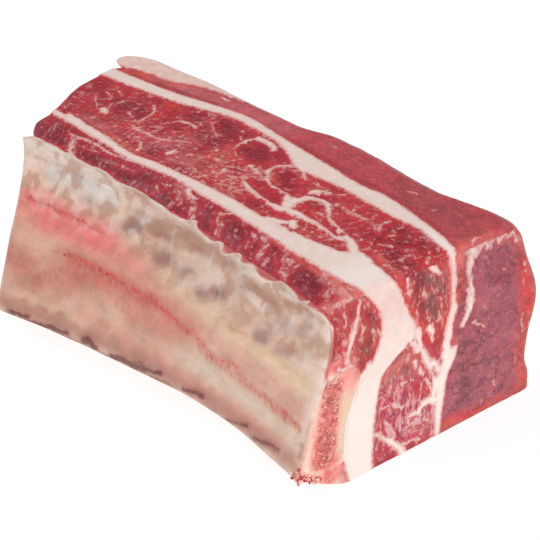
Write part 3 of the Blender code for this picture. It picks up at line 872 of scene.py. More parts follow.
END_SHADES = shades(
    # Meat above the rib
    (Hue.BROWN_RED, 7, 0.3, (8.4, 57), (8.6, 50), (8.4, 44)),
    (Hue.CRIMSON, 2.6, 0.85, (8.6, 45.4), (9.4, 43.4)), (Hue.DEEP, 3, 0.6, (7.4, 54.4), (11.6, 54.8)),
    (Hue.CORAL, 2.6, 0.75, (2.6, 58.6), (5.6, 57.6)), (Hue.BLUSH, 2, 0.6, (10.8, 46.4), (12.2, 44.4)),
    (Hue.SALMON, 5.4, 0.95, (5.4, 38.6), (8.6, 39.6), (11.4, 38)),
    (Hue.WARM_FAT, 2.6, 0.8, (6.4, 37), (8.2, 37.6)),
    (Hue.CORAL, 1.6, 0.8, (5.8, 42), (7.6, 39.6), (10.4, 39.6)),
    (Hue.BROWN, 7, 0.7, (18, 48), (17, 38)), (Hue.DEEP, 2.4, 0.8, (16.6, 53.6), (18.6, 50.6)),
    (Hue.GREY_BROWN, 2.6, 0.7, (16.4, 41.6), (17.6, 40.2)),
    (Hue.ORANGE, 1.8, 0.5, (20.8, 52), (22, 46), (20.8, 40)),
    (Hue.ORANGE, 2, 0.5, (14.6, 35.6), (16.4, 33.2)),
    # Upper lobe
    (Hue.BROWN, 12, 0.8, (35, 55), (40, 44)), (Hue.DEEP, 5, 0.7, (28.4, 60.4), (32.6, 57.6)),
    (Hue.ORANGE, 2.2, 0.85, (26.6, 59.4), (28, 53), (30.4, 48), (34, 42), (36.6, 38)),
    (Hue.ORANGE, 2.4, 0.85, (43.2, 55), (44.6, 48.4), (44.8, 43), (43, 38.4), (42.4, 30)),
    (Hue.GREY_BROWN, 4.4, 0.8, (36.2, 55), (39.4, 50.4)),
    (Hue.PURPLE, 3, 0.6, (33.4, 53.4), (32.4, 57)), (Hue.PURPLE, 2.4, 0.8, (34.6, 46.6), (34.8, 43.6)),
    (Hue.GREY_BROWN, 3.6, 0.8, (38, 47), (39.2, 42)), (Hue.BROWN, 3, 0.5, (41.4, 36), (41.8, 31)),
    # Lower lobe
    (Hue.RASPBERRY, 19, 0.95, (31, 20), (31, 9)),
    (Hue.BRICK_PINK, 7, 0.7, (24, 30), (30.4, 31.4), (35, 29)),
    (Hue.BROWN, 2.4, 0.6, (24.4, 33.6), (30.4, 33.8), (35.6, 30)),
    (Hue.BLUSH, 6, 0.22, (25, 29.4), (30, 30.4), (35.4, 27.4)),
    (Hue.CLOT, 2.2, 0.8, (30.2, 30.2), (30.6, 28.6)), (Hue.MAUVE, 2.8, 0.7, (24.6, 34), (27.4, 35)),
    (Hue.ROSE, 7, 0.4, (36, 8), (39.6, 5)), (Hue.CRIMSON, 2.2, 0.85, (34.8, 21.6), (34.9, 18)),
    (Hue.CRIMSON, 2.2, 0.85, (38.2, 20), (39.2, 16.4)), (Hue.MAGENTA, 3, 0.7, (24, 8.4), (24.4, 4)),
    (Hue.MAGENTA, 3.4, 0.75, (30.2, 7.6), (30.8, 5.4)),
    (Hue.MAGENTA, 2.2, 0.7, (34.6, 14.6), (34.8, 14.2)), (Hue.ORANGE, 1.4, 0.6, (22, 31), (22, 25)),
    (Hue.BROWN, 2.6, 0.5, (22.4, 1), (28, 0.8), (38, 0.8)),
    # Outer seam and outer meat
    (Hue.CORAL, 3, 0.8, (46.6, 58), (47.2, 50)), (Hue.ORANGE, 2.6, 0.55, (47.2, 50), (47.6, 43)),
    (Hue.MAUVE, 2.6, 0.8, (47.8, 37), (47.2, 30)),
    (Hue.ORANGE, 6.6, 0.95, (62, 61.4), (67, 57), (70, 49), (72.6, 40), (73.8, 31)),
    (Hue.ORANGE, 6.2, 0.95, (74.4, 31), (74.4, 17), (75, 8), (76.6, 1)),
    (Hue.CRIMSON, 3, 0.6, (68.4, 49.4), (71.4, 40.4), (72.6, 30.6)),
    (Hue.ORANGE, 4.6, 0.85, (46.6, 2.6), (52, 1.2), (60, 0.6), (76, 0.6)),
    (Hue.CRIMSON, 1.6, 0.6, (49, 3.4), (54, 2), (60, 2.6)),
    (Hue.MAUVE, 7, 0.2, (50, 8), (60, 6), (68, 7)), (Hue.PLUM, 8, 0.8, (54, 52), (64, 49)),
    (Hue.CORAL, 4, 0.6, (52.6, 60.4), (60, 60.4)), (Hue.BLUSH, 3, 0.5, (52, 58.8), (56.6, 58.2)),
    (Hue.PURPLE, 4, 0.4, (61, 44), (64, 42)),
    # Sawn rib and the scraps below it
    (Hue.MARROW, 4.6, 0.6, (7.2, 33.6), (7, 28.6), (6.2, 24.6)),
    (Hue.MARROW, 4.6, 0.75, (5.8, 19.4), (5.6, 15.6), (4.6, 12.4)),
    (Hue.BONE_CREAM, 5.6, 0.95, (12.4, 29), (12, 20), (11.6, 14)),
    (Hue.CORAL, 1.6, 0.85, (11.4, 13.4), (9.8, 10), (7, 9.2), (4.6, 9.8), (3, 12.4), (3, 18)),
    (Hue.RIM_RED, 2.4, 0.75, (8.6, 6.6), (9.2, 4.4)),
    (Hue.BLUSH, 3.4, 0.5, (13.4, 33.6), (13.6, 29.6)), (Hue.BLUSH, 2, 0.6, (3.6, 26.4), (4.6, 24.8)),
    (Hue.WARM_FAT, 2.2, 0.85, (-0.4, 26), (-1.2, 18), (-0.4, 11.6)),
    (Hue.ORANGE, 2.6, 0.8, (6.2, 7), (7.6, 4)), (Hue.CRIMSON, 2.2, 0.55, (11, 7), (12.4, 1.4)),
    (Hue.SALMON, 2.6, 0.7, (8.8, 7.4), (9.4, 4.2)),
)
END_PICTURE = Picture(
    ((Tissue.FILM, END_FILMS), (Tissue.FAT, END_VEINS), (Tissue.MEAT, END_ISLANDS)), END_SHADES
)

# Places on the inner face are pairs of (along, height).
MEMBRANE_SHADES = shades(
    # Bands along the rib
    (Hue.STRAW, 6, 0.75, (-4, 33), (30, 32.6), (62, 33.4)),
    (Hue.WARM_FAT, 2.6, 0.4, (2, 32.4), (28, 32), (50, 33)),
    (Hue.LAVENDER, 4.6, 0.3, (4, 28), (24, 29), (50, 31.6)),
    (Hue.DUSKY_PINK, 6.4, 0.6, (4, 27.4), (30, 29.2), (60, 32.6)),
    (Hue.IVORY, 5, 0.35, (6, 19.4), (26, 20), (50, 20.6)),
    (Hue.DUSKY_PINK, 3.6, 0.75, (8, 15.4), (30, 15.4), (54, 15.6)),
    (Hue.DUSKY_PINK, 15, 0.7, (56, 24), (84, 23), (113, 23)),
    (Hue.DUSKY_PINK, 10, 0.75, (66, 37), (88, 38), (112, 37)),
    (Hue.WARM_PINK, 9.5, 0.7, (82, 40.2), (98, 40.2), (111, 41.2)),
    (Hue.WARM_PINK, 6, 0.65, (86, 38.6), (104, 38.4)), (Hue.WARM_PINK, 5, 0.4, (70, 37.6), (86, 39.4)),
    (Hue.WARM_FAT, 3, 0.4, (84, 47.6), (98, 47.4), (110, 47.4)),
    (Hue.VEIN_RED, 1.1, 0.45, (82, 41.4), (92, 41.5), (110, 41.4)),
    (Hue.DUSKY_PINK, 4, 0.5, (54, 15.8), (68, 16.2), (84, 16.4)),
    (Hue.BEIGE, 5, 0.55, (56, 19.4), (72, 20.4), (84, 21)),
    (Hue.STRAW, 4, 0.45, (84, 13.6), (96, 13), (108, 12.6)),
    # Salmon patches low on the far half
    (Hue.BRICK_PINK, 9, 0.45, (88, 24.6), (100, 22.4), (113, 22.6)),
    (Hue.BRICK_PINK, 5.4, 0.5, (101, 20.4), (106, 23), (112, 26)),
    (Hue.BRICK_PINK, 4, 0.35, (80, 27.4), (90, 25.6)), (Hue.BRICK_PINK, 7, 0.4, (54, 25), (66, 23)),
    (Hue.BRICK_PINK, 5, 0.35, (56, 16.4), (66, 15.6), (76, 14.4)),
    (Hue.TAN, 3, 0.4, (101, 20.6), (105, 18.4)), (Hue.TAN, 1.4, 0.7, (89, 14.2), (91, 14)),
    (Hue.TAN, 1.6, 0.75, (95.6, 13), (97.6, 12.8)), (Hue.TAN, 1.4, 0.7, (102.6, 13.8), (103.8, 13.2)),
    # The red line of small vessels, with a bright haze below it
    (Hue.ORANGE, 4.6, 0.5, (60, 30), (74, 29.6), (90, 29.8)),
    (Hue.VEIN_RED, 9, 0.34, (48, 29), (60, 30), (90, 30)),
    (Hue.CORAL, 2.6, 0.35, (4, 22.4), (24, 24), (40, 25.6), (56, 29.4)),
    # Near edge
    (Hue.WARM_FAT, 4, 0.75, (0.4, 58), (0.6, 48), (0.8, 38), (1.2, 28), (1.2, 18)),
    (Hue.WHITE_FAT, 1.8, 0.7, (0.2, 56), (0.2, 40), (0.4, 30), (0.4, 22)),
    (Hue.TAN, 1.2, 0.7, (1.6, 19), (1.4, 15.4)), (Hue.VEIN_RED, 0.8, 0.5, (0.6, 26), (1, 21)),
    # Upper band, pale with tan hollows
    (Hue.IVORY, 5, 0.7, (3, 57.4), (14, 57), (30, 56), (44, 57.6), (60, 58.6)),
    (Hue.GREY_FAT, 2, 0.3, (4, 56), (8, 50), (6, 44)),
    (Hue.TAN, 3.6, 0.95, (8.4, 54), (12, 53.4), (15.4, 51.6)),
    (Hue.TAN, 3.2, 0.9, (19.6, 48.6), (24, 49.6), (30, 51)),
    (Hue.BROWN, 0.9, 0.4, (19.6, 49), (25, 48.4), (30.6, 49.2)),
    (Hue.TAN, 6.4, 0.9, (36.6, 53.6), (46, 53), (60, 53.6)),
    (Hue.BROWN, 2, 0.5, (47.8, 51.4), (50.8, 50.2)), (Hue.TAN, 5, 0.8, (56, 50.6), (66, 50), (72, 48.4)),
    (Hue.TAN, 3.4, 0.7, (69, 52.6), (73, 48.4), (74, 45.6)),
    (Hue.BROWN, 1.8, 0.4, (60.6, 49.4), (64.4, 48)),
    (Hue.WARM_FAT, 4, 0.5, (60, 56), (70, 55.6), (78, 54.2)),
    # Blotches that show through
    (Hue.TAN, 3, 0.5, (5, 48), (8.4, 43.8)), (Hue.SHADOW_MAUVE, 3, 0.4, (8.4, 49.6), (10.4, 45)),
    (Hue.SHADOW_MAUVE, 4, 0.5, (15.6, 46.6), (20.4, 41.4)),
    (Hue.SHADOW_MAUVE, 3.4, 0.55, (12.4, 39.4), (16.6, 37.4)),
    (Hue.SHADOW_MAUVE, 2.8, 0.75, (22, 38.4), (24.6, 37.6)),
    (Hue.LAVENDER, 5, 0.5, (31.6, 50.6), (34, 46.4)), (Hue.TAN, 2.4, 0.5, (26.6, 43), (31, 44)),
    (Hue.SHADOW_MAUVE, 3.6, 0.75, (38, 42.8), (42.4, 41.2), (46, 39.2)),
    (Hue.CLOT, 1.5, 0.35, (39.6, 42.4), (42.4, 41.2)), (Hue.LAVENDER, 4.6, 0.45, (50.4, 44.6), (54, 41)),
    (Hue.SHADOW_MAUVE, 2, 0.6, (51, 43.4), (53.4, 41.6)),
    (Hue.SHADOW_MAUVE, 3.6, 0.9, (58.6, 43.8), (62.6, 42)),
    (Hue.CLOT, 1.8, 0.35, (59.4, 43.4), (61.8, 42.4)), (Hue.SHADOW_MAUVE, 3, 0.7, (69.6, 48.6), (75, 45.4)),
    (Hue.LAVENDER, 2.4, 0.55, (85, 48.4), (92, 48)),
    # Painted highlights where the wet membrane gleams, then a cream patch and a coral line
    (Hue.WHITE_FAT, 2.2, 0.45, (21, 46.4), (25.4, 45.6), (28.8, 46.6)),
    (Hue.WHITE_FAT, 2, 0.4, (12.6, 48.4), (14.4, 44.6)),
    (Hue.WHITE_FAT, 1.2, 0.35, (30.4, 53.4), (33.4, 51.4)),
    (Hue.WHITE_FAT, 1.4, 0.4, (66, 51.4), (70, 50.2), (74, 50.8)),
    (Hue.WARM_FAT, 2.6, 0.6, (3.4, 38.6), (11, 37.4)),
    (Hue.CORAL, 0.8, 0.4, (24.6, 35.6), (29, 36.2), (34, 35.4)),
    # Pale grey band at the far top
    (Hue.IVORY, 5.4, 0.85, (78, 58), (96, 58.6), (114, 57.6)),
    (Hue.GREY_FAT, 4.6, 0.85, (80, 52.6), (90, 52.4), (104, 51.6)),
    (Hue.WARM_FAT, 4, 0.6, (107, 54.4), (112, 51), (113, 46)),
    (Hue.TAN, 0.7, 0.5, (92, 54.6), (100, 54.2), (110, 53.6)),
    (Hue.WHITE_FAT, 0.9, 0.5, (79, 55.2), (84, 55.8), (89, 54.6), (94, 55.6)),
    # Dark blood along the lower border
    (Hue.RUSSET, 4.6, 0.8, (4, 13), (20, 13.2), (46, 12.8), (70, 12), (110, 10.8)),
)
MEMBRANE_PICTURE = Picture((), MEMBRANE_SHADES)

# Lines of small vessels and clots of dried blood on the inner face, at (along, height)
VESSELS = strokes(
    (0.7, 0.3, (57, 30.4), (64, 30.9), (75, 31.2), (85, 31.6), (93, 31.2), (97, 30.4)),
    (0.4, 0.7, (41.4, 26.8), (45, 28.4), (49, 28.6), (53, 29.4), (58, 30.2)),
    (0.3, (25.6, 25.4), (28, 26.6), (31.6, 26.8), (36, 25.4), (39.6, 25.2)),
    (0.1, 0.5, (82, 40.6), (88, 41.6), (98, 41.8), (110, 41.6)),
    (0.2, (4, 22.8), (8, 24), (13, 23.6), (19, 24.4), (25, 24.2)),
)
CLOTS = strokes(
    (1, (9, 13.6), (13.6, 12.6), (18.4, 11.2)), (0.8, (20.6, 13.4), (24.6, 12), (28, 11)),
    (1.4, (37.6, 13), (41.4, 12), (44.8, 11.2)), (1.5, (53.6, 11.8), (58.6, 10.6)),
    (0.9, (59.6, 11.4), (63, 10.6)), (1.9, (59, 9.6), (66.6, 9.2), (71.6, 8.2)),
    (1.1, (66.4, 10.6), (70.6, 9)), (2.4, (77.6, 8.6), (79.8, 10.2), (81.4, 9)),
    (1.6, (87, 9.2), (93, 8.4), (99, 7.4)), (1.5, (101, 8.6), (107, 8.4)),
    (0.7, (50, 9.9), (60, 8.8), (74, 7.6), (92, 7.3), (108, 7.6)),
)

# The corner that the saw chewed, at (across, height)
CHEWED_CORNER = stroke(3.4, (-3.6, 9.4), (-1, 7.6), (2.6, 5.4))
# The blocks of the middle muscle whose marbling is light, at (along, across)
LIGHT_BLOCKS = strokes(
    (11, (61, 34), (70, 32), (82, 35)), (5, (45, 30), (52, 31)), (5, (46, 24), (53, 24)),
    (4, (98, 30), (108, 26)),
)


def deepest(lines: tuple[Stroke, ...], places: Array) -> Array:
    """Return how deep places lie inside the nearest of some strokes."""
    return np.clip(np.max([line.inside(places) for line in lines], axis=0), -FAR_AWAY, FAR_AWAY)


class Surface:
    """The measured points of one piece, with what each shows: fat or meat, colour, marbling and grain."""

    def __init__(self, places: Array) -> None:
        """Measure how far each point belongs to the top face and to the near end.

        Args:
            places: The points in millimetres, one a row.
        """
        _, along, height = places.T
        self.places = places
        self.top = ramp(height, HEIGHT - 2.2, HEIGHT - 1.4)
        self.near = (1 - self.top) * ramp(along, 4.5, 2.6)
        self.fatness = np.full(len(places), -FAR_AWAY)
        self.tint = np.zeros((len(places), 3))
        self.marbling = np.zeros(len(places))
        self.grain = places.copy()

    def comb(self, end_comb: tuple[Triple, float], top_comb: tuple[Triple, float]) -> None:
        """Draw out the patterns in the meat along its fibres.

        Args:
            end_comb: The direction that fibres run on the end, and the share of each step that counts.
            top_comb: The same for the top face.
        """
        combed = []
        rim = np.array([self.places[:, 0].mean(), 0, HEIGHT])
        for direction, share in (end_comb, top_comb):
            unit = np.array(direction) / np.linalg.norm(direction)
            combed.append(self.places + (share - 1) * ((self.places - rim) @ unit)[:, None] * unit)
        self.grain = blend(*combed, self.top[:, None])

    def wandering(self, first: int, second: int) -> Array:
        """Return the places on a face, moved a little so that lines drawn on it wander.

        Args:
            first: The axis of the face's first direction.
            second: The axis of its second direction.

        Returns:
            Places on the face, one a row.
        """
        moved = self.places[:, [first, second]].copy()
        for k, seed in enumerate((11, 12)):
            for more, (reach, size) in zip((0, 2), WANDERING):
                moved[:, k] += reach * Unevenness(seed + more).at(self.places, size)
        return moved

    def lay_seams(self) -> None:
        """Measure the depth inside the two seams and the cap."""
        across, along, height = self.places.T
        rows = [
            np.minimum(across - start.across(along, height), end.across(along, height) - across)
            for start, end in ((INNER_SEAM_START, INNER_SEAM_END), (OUTER_SEAM_START, OUTER_SEAM_END))
        ]
        cap = across - OUTER_SIDE.across(along, height) - cap_side(along)
        rows.append(np.where(along > CAP_THICKNESS[0][0], cap, -FAR_AWAY))
        self.fatness = np.clip(np.max(rows, axis=0), -FAR_AWAY, FAR_AWAY)

    def draw(self, *faces: tuple[Picture, Array, int, int]) -> None:
        """Draw pictures on the points that belong to their faces.

        Args:
            faces: For each face what to draw, how far each point belongs to it, and its two axes.
        """
        fatness, tint = self.fatness.copy(), self.tint.copy()
        for picture, weight, first, second in faces:
            there = weight > 0
            if not there.any():
                continue
            places, share = self.wandering(first, second)[there], weight[there]
            depth, colour = picture.laid(self.fatness[there], self.tint[there], places)
            fatness[there] += share * (depth - self.fatness[there])
            tint[there] += share[:, None] * (colour - self.tint[there])
        self.fatness, self.tint = fatness, tint


def torn_depth(places: Array) -> Array:
    """Measure how far places lie inside the membrane, whose torn edge wanders over the chunk's inner rim.

    The edge is given on the top face, and its tongues hang down aslant, towards the far end.

    Args:
        places: Points in millimetres, one a row.

    Returns:
        The depth in millimetres, negative where meat shows.
    """
    across, along, height = places.T
    drop = HEIGHT - height
    wander = TORN_WANDER * Unevenness(51).at(places, 2.2)
    edge = smooth_curve(TORN_EDGE, along + TORN_SLANT[1] * drop) - TORN_SETBACK
    return np.clip(edge - across - TORN_SLANT[0] * drop + wander, -FAR_AWAY, FAR_AWAY)


def chewed(places: Array) -> Array:
    """Return how far the saw chewed each place, from 0 to 1, at the lower near corner."""
    return ramp(CHEWED_CORNER.inside(places[:, [0, 2]]), -0.8, 1) * ramp(places[:, 1], 4, 0.6)


def sunk(surface: Surface, outer_meat: bool = False, end_depth: float = 0.4) -> Array:
    """Lower the points of a piece into the chunk, unevenly.

    Args:
        surface: The points and what they show.
        outer_meat: Whether the piece forms the chunk's outer side.
        end_depth: How deep the cut ends sink, in millimetres.

    Returns:
        The lowered places.
    """
    places = surface.places
    across, along, height = places.T
    meat = ramp(surface.fatness, 0.4, -0.4)
    broad = 0.5 + 0.5 * Unevenness(21).layered(places, 7)
    bundles = 0.5 + 0.5 * Unevenness(22).layered(places, 1.9)
    step = broad * 0.55 + meat * (0.25 + 0.45 * bundles)
    top = ramp(height, HEIGHT - RELIEF_REACH, HEIGHT)
    near = ramp(along, RELIEF_REACH, 0)
    length = INNER_FACE.length(height) + 22 * ramp(across, -10, 40)
    far = ramp(along, 60, 70) * ramp(length - along, RELIEF_REACH + 9, 6)
    moved = places.copy()
    moved[:, 2] -= top * RELIEF_DEPTH * step
    moved[:, 1] += near * end_depth * step + CHEWED_DEPTH * chewed(places)
    moved[:, 1] -= far * end_depth * step
    if outer_meat:
        outer = ramp(OUTER_SIDE.across(along, height) - across, RELIEF_REACH, 0)
        moved[:, 0] -= outer * RELIEF_DEPTH * (broad + 0.4 * bundles)
    return moved


def operator(name: str, turned: bool = False) -> Callable[["Wire", "Wire | float"], "Wire"]:
    """Make a method that joins a wire and another value by a Math node.

    Args:
        name: The node's operation.
        turned: Whether the other value comes first.

    Returns:
        The method.
    """

    def joined(wire: "Wire", other: "Wire | float") -> "Wire":
        """Return the node's result."""
        return wire.board.maths(name, *((other, wire) if turned else (wire, other)))

    return joined


class Wire:
    """A shader socket that takes part in Python arithmetic."""

    __add__, __radd__ = operator("ADD"), operator("ADD", turned=True)
    __sub__, __rsub__ = operator("SUBTRACT"), operator("SUBTRACT", turned=True)
    __mul__, __rmul__ = operator("MULTIPLY"), operator("MULTIPLY", turned=True)

    def __init__(self, board: "Board", socket: bpy.types.NodeSocket) -> None:
        """Keep the socket and the board that it is on."""
        self.board = board
        self.socket = socket

    def __abs__(self) -> "Wire":
        """Return the size of the value without its sign."""
        return self.board.maths("ABSOLUTE", self)

    def rise(self, low: float, high: float) -> "Wire":
        """Return 0 to 1 as the value goes smoothly from low to high."""
        settings = {"interpolation_type": "SMOOTHSTEP"}
        values = {"Value": self, "From Min": low, "From Max": high}
        return self.board.node("ShaderNodeMapRange", settings, values)

    def scaled(self, factor: "Wire | float") -> "Wire":
        """Return this vector or colour times a number."""
        return self.board.vector("SCALE", self, Scale=factor)

    def part(self, axis: int) -> "Wire":
        """Return one number of this vector."""
        return self.board.node("ShaderNodeSeparateXYZ", {}, {0: self}, axis)


class Board:
    """The node tree of one material, which adds nodes as expressions need them."""

    def __init__(self, name: str) -> None:
        """Start a material with its shader and the place on the object in millimetres.

        Args:
            name: The material's name.
        """
        self.material = bpy.data.materials.new(name)
        self.material.use_nodes = True
        self.tree = self.material.node_tree
        self.shader = self.tree.nodes["Principled BSDF"]
        self.place = self.node("ShaderNodeTexCoord", {}, {}, "Object").scaled(1000)

    def node(self, kind: str, settings: dict, values: dict, output: int | str = 0) -> Wire:
        """Add a node.

        Args:
            kind: The node's type.
            settings: Properties of the node, set first.
            values: What each input gets, by its name or number: a Wire, a number or a tuple.
            output: The output to return.

        Returns:
            The chosen output.
        """
        made = self.tree.nodes.new(kind)
        for name, value in settings.items():
            setattr(made, name, value)
        for name, value in values.items():
            self.feed(made.inputs[name], value)
        return Wire(self, made.outputs[output])

    def feed(self, socket: bpy.types.NodeSocket, value: Wire | float | tuple) -> None:
        """Link a wire to a socket, or set the socket's own value.

        Args:
            socket: The input.
            value: What it gets.
        """
        if isinstance(value, Wire):
            self.tree.links.new(value.socket, socket)
        else:
            socket.default_value = value

    def maths(self, operation: str, *values: Wire | float) -> Wire:
        """Return the result of a Math node on numbers."""
        return self.node("ShaderNodeMath", {"operation": operation}, dict(enumerate(values)))

    def vector(
        self, operation: str, *values: Wire | tuple, output: int | str = 0, **named: Wire | float
    ) -> Wire:
        """Return the result of a Vector Math node."""
        inputs = dict(enumerate(values)) | named
        return self.node("ShaderNodeVectorMath", {"operation": operation}, inputs, output)

    def highest(self, *values: Wire) -> Wire:
        """Return the highest of some values."""
        return reduce(lambda first, second: self.maths("MAXIMUM", first, second), values)

    def mix(self, factor: Wire | float, first: Wire | Hue, second: Wire | Hue) -> Wire:
        """Return a colour between two.

        Args:
            factor: The second colour's share.
            first: A colour, wired or by hue.
            second: A colour, wired or by hue.

        Returns:
            The mixed colour.
        """
        ends = [c if isinstance(c, Wire) else (*c.linear(), 1) for c in (first, second)]
        settings = {"data_type": "RGBA"}
        return self.node("ShaderNodeMix", settings, {0: factor, 6: ends[0], 7: ends[1]}, 2)

    def attribute(self, name: str, output: str) -> Wire:
        """Return what the mesh carries under a name."""
        return self.node("ShaderNodeAttribute", {"attribute_name": name}, {}, output)

    def noise(
        self, place: Wire, scale: float, detail: float = 3, roughness: float = 0.55, output: int | str = 0
    ) -> Wire:
        """Return a cloudy value around a half."""
        values = {"Vector": place, "Scale": scale, "Detail": detail, "Roughness": roughness}
        return self.node("ShaderNodeTexNoise", {}, values, output)

    def noise_vector(self, place: Wire, scale: float, detail: float = 2) -> Wire:
        """Return three cloudy values around a half, as a vector."""
        return self.noise(place, scale, detail, 0.5, "Color")

    def cell_centres(self, place: Wire, scale: float) -> Wire:
        """Return the distance to the nearest cell's centre."""
        return self.node("ShaderNodeTexVoronoi", {}, {"Vector": place, "Scale": scale})

    def stretched(self, direction: Triple, share: float) -> Wire:
        """Draw out a pattern along a direction.

        Args:
            direction: The direction, of any length.
            share: How much of a step along the direction counts.

        Returns:
            The places to read the pattern at.
        """
        unit = tuple(Vector(direction).normalized())
        along = self.vector("DOT_PRODUCT", self.place, unit, output="Value")
        return self.vector("ADD", self.place, self.vector("SCALE", unit, Scale=along * (share - 1)))

    def bumped(self, height: Wire, depth: float, strength: float) -> Wire:
        """Return the normal of a surface with heights from 0 to 1, of a depth in metres."""
        values = {"Strength": strength, "Distance": depth, "Height": height}
        return self.node("ShaderNodeBump", {}, values)

    def finish(self, **sockets: Wire | float | tuple) -> bpy.types.Material:
        """Set the shader's sockets, with spaces for underscores, and return the material."""
        for name, value in sockets.items():
            self.feed(self.shader.inputs[name.replace("_", " ")], value)
        return self.material


@dataclass(frozen=True)
class TissueFinish:
    """A cut through muscle and fat: streaky meat, marbling in specks and fine lines, and soft fat."""

    name: str
    specks: float = 1.0
    wisps: float = 0.0
    rim: float = 0.5
    core: float = 0.14
    bloom: float = 0.24
    fat_hue: Hue = Hue.CREAM_FAT

    def marbled(self, board: Board, grain: Wire) -> Wire:
        """Return how far marbling covers the meat, from 0 to 1.

        Args:
            board: The material's board.
            grain: Places drawn out along the fibres.

        Returns:
            The cover.
        """
        bent = board.vector("ADD", grain, board.noise_vector(board.place, 0.3).scaled(1.6))
        patches = board.noise(board.place, 0.14, 2).rise(0.32, 0.68)
        amount = board.attribute("marbling", "Fac") * self.specks
        held = board.maths("MINIMUM", amount, 1)
        cover = held * held * (0.03 + patches * 0.08)
        blobs = (board.noise(bent, 0.56, 3, 0.6) + cover).rise(0.58, 0.72)
        lace = (board.noise(bent, 0.78, 2, 0.6) + held * 0.03).rise(0.56, 0.62)
        lace = lace * amount.rise(0.75, 1.1)
        small = (board.noise(bent, 1.1, 2, 0.5) + cover).rise(0.62, 0.76) * 0.6
        spots = (amount * 0.18 - board.cell_centres(bent, 0.42)).rise(0, 0.12)
        swing = abs(board.noise(bent, 0.22, 3, 0.55) - 0.5)
        lines = (1 - swing.rise(0, 0.03)) * cover * 2.4
        total = board.highest(blobs, small, spots, lines, lace)
        return total * board.maths("MINIMUM", amount * 1.5, 1)

    def creases(self, board: Board) -> tuple[Wire, Wire]:
        """Find the pale curly lines and the soft creases of loose meat, where the meat is darkened as
        painted shade.

        Args:
            board: The material's board.

        Returns:
            How far each of the two shows, from 0 to 1.
        """
        shown = board.attribute("marbling", "Fac") * self.wisps
        curly = board.vector("ADD", board.place, board.noise_vector(board.place, 0.25).scaled(5))
        lines = 1 - abs(board.noise(curly, 0.34, 4, 0.65) - 0.5).rise(0.002, 0.035)
        folds = 1 - abs(board.noise(curly, 0.11, 3, 0.5) - 0.52).rise(0, 0.05)
        return lines * shown, folds * shown

    def cream(self, board: Board, depth: Wire) -> Wire:
        """Colour the fat: whiter low down, with painted light on the top's fat near the near end and
        painted shade, pinker and a little darker, on the near end just below the top rim.

        Args:
            board: The material's board.
            depth: How deep each place lies inside the fat.

        Returns:
            The fat's colour.
        """
        along, height = board.place.part(1) + MIDDLE[1], board.place.part(2)
        cream = board.mix(height.rise(46, 16) * 0.8, self.fat_hue, Hue.WHITE_FAT)
        # Painted shade: the fat on the near end just below the top rim is made pinker and a little darker.
        painted_rim_shade = height.rise(42, 51) * height.rise(HEIGHT + 5, HEIGHT - 8) * along.rise(3, 0.8)
        cream = board.mix(painted_rim_shade * 0.5, cream, Hue.THIN_FAT).scaled(1 - painted_rim_shade * 0.05)
        # Painted light: the top's fat in its first 16 mm from the near end is made whiter along the rim.
        painted_rim_light = height.rise(HEIGHT - 1, HEIGHT - 0.1) * along.rise(16, 5) * along.rise(0.3, 2.6)
        cream = board.mix(painted_rim_light * 0.9, cream, Hue.WHITE_FAT)
        cream = board.mix(depth.rise(0.1, 1.5), Hue.THIN_FAT, cream)
        milky = board.noise(board.place, 0.35, 4).rise(0.4, 0.7)
        return board.mix(milky * 0.4, cream, Hue.WHITE_FAT)

    def build(self) -> bpy.types.Material:
        """Make the material.

        Returns:
            The material.
        """
        board = Board(self.name)
        place = board.place
        grain = board.attribute("grain", "Vector")
        depth = board.attribute("fatness", "Fac")
        uneven = (board.noise(place, 0.45) - 0.5) * 1.4 + (board.noise(grain, 1.3, 2) - 0.5) * 1.3
        fat = (depth + uneven).rise(-0.45, 0.95)
        marbled = self.marbled(board, grain)
        strands = board.noise(grain, 0.7, 4, 0.6).rise(0.3, 0.7)
        clouds = board.noise(place, 0.2, 4, 0.6).rise(0.3, 0.7)
        meat = board.attribute("tint", "Color").scaled(0.72 + strands * 0.24 + clouds * 0.34)
        bloom = board.noise(grain, 0.9, 3, 0.6).rise(0.52, 0.7)
        meat = board.mix(bloom * self.bloom, meat, Hue.ROSE)
        meat = board.mix(depth.rise(-1.9, 0) * self.rim, meat, Hue.RIM_RED)
        meat = meat.scaled(1 - depth.rise(-1.6, -2.9) * self.core)
        height = (strands * 0.6 + marbled * 0.4) * (1 - fat) + board.noise(place, 3, 2) * 0.3
        if self.wisps:
            lines, folds = self.creases(board)
            # Painted shade: the meat is darkened along its soft creases.
            meat = board.mix(lines * 0.6, meat, Hue.ROSE).scaled(1 - folds * 0.34)
            height = height - folds * 1.4 + lines * 0.3
        heavy = board.attribute("marbling", "Fac").rise(1.1, 1.4)
        speck = board.mix(0.74, meat, board.mix(heavy, Hue.BLUSH, Hue.LILAC_FAT))
        meat = board.mix(marbled, meat, speck)
        film = board.mix(fat.rise(0, 0.5), meat, Hue.FILM_PINK)
        return board.finish(
            Base_Color=board.mix(fat.rise(0.45, 1), film, self.cream(board, depth)),
            Roughness=0.34 + fat * 0.16 + clouds * 0.16,
            Specular_IOR_Level=0.24,
            Normal=board.bumped(height, 0.0005, 0.8),
        )


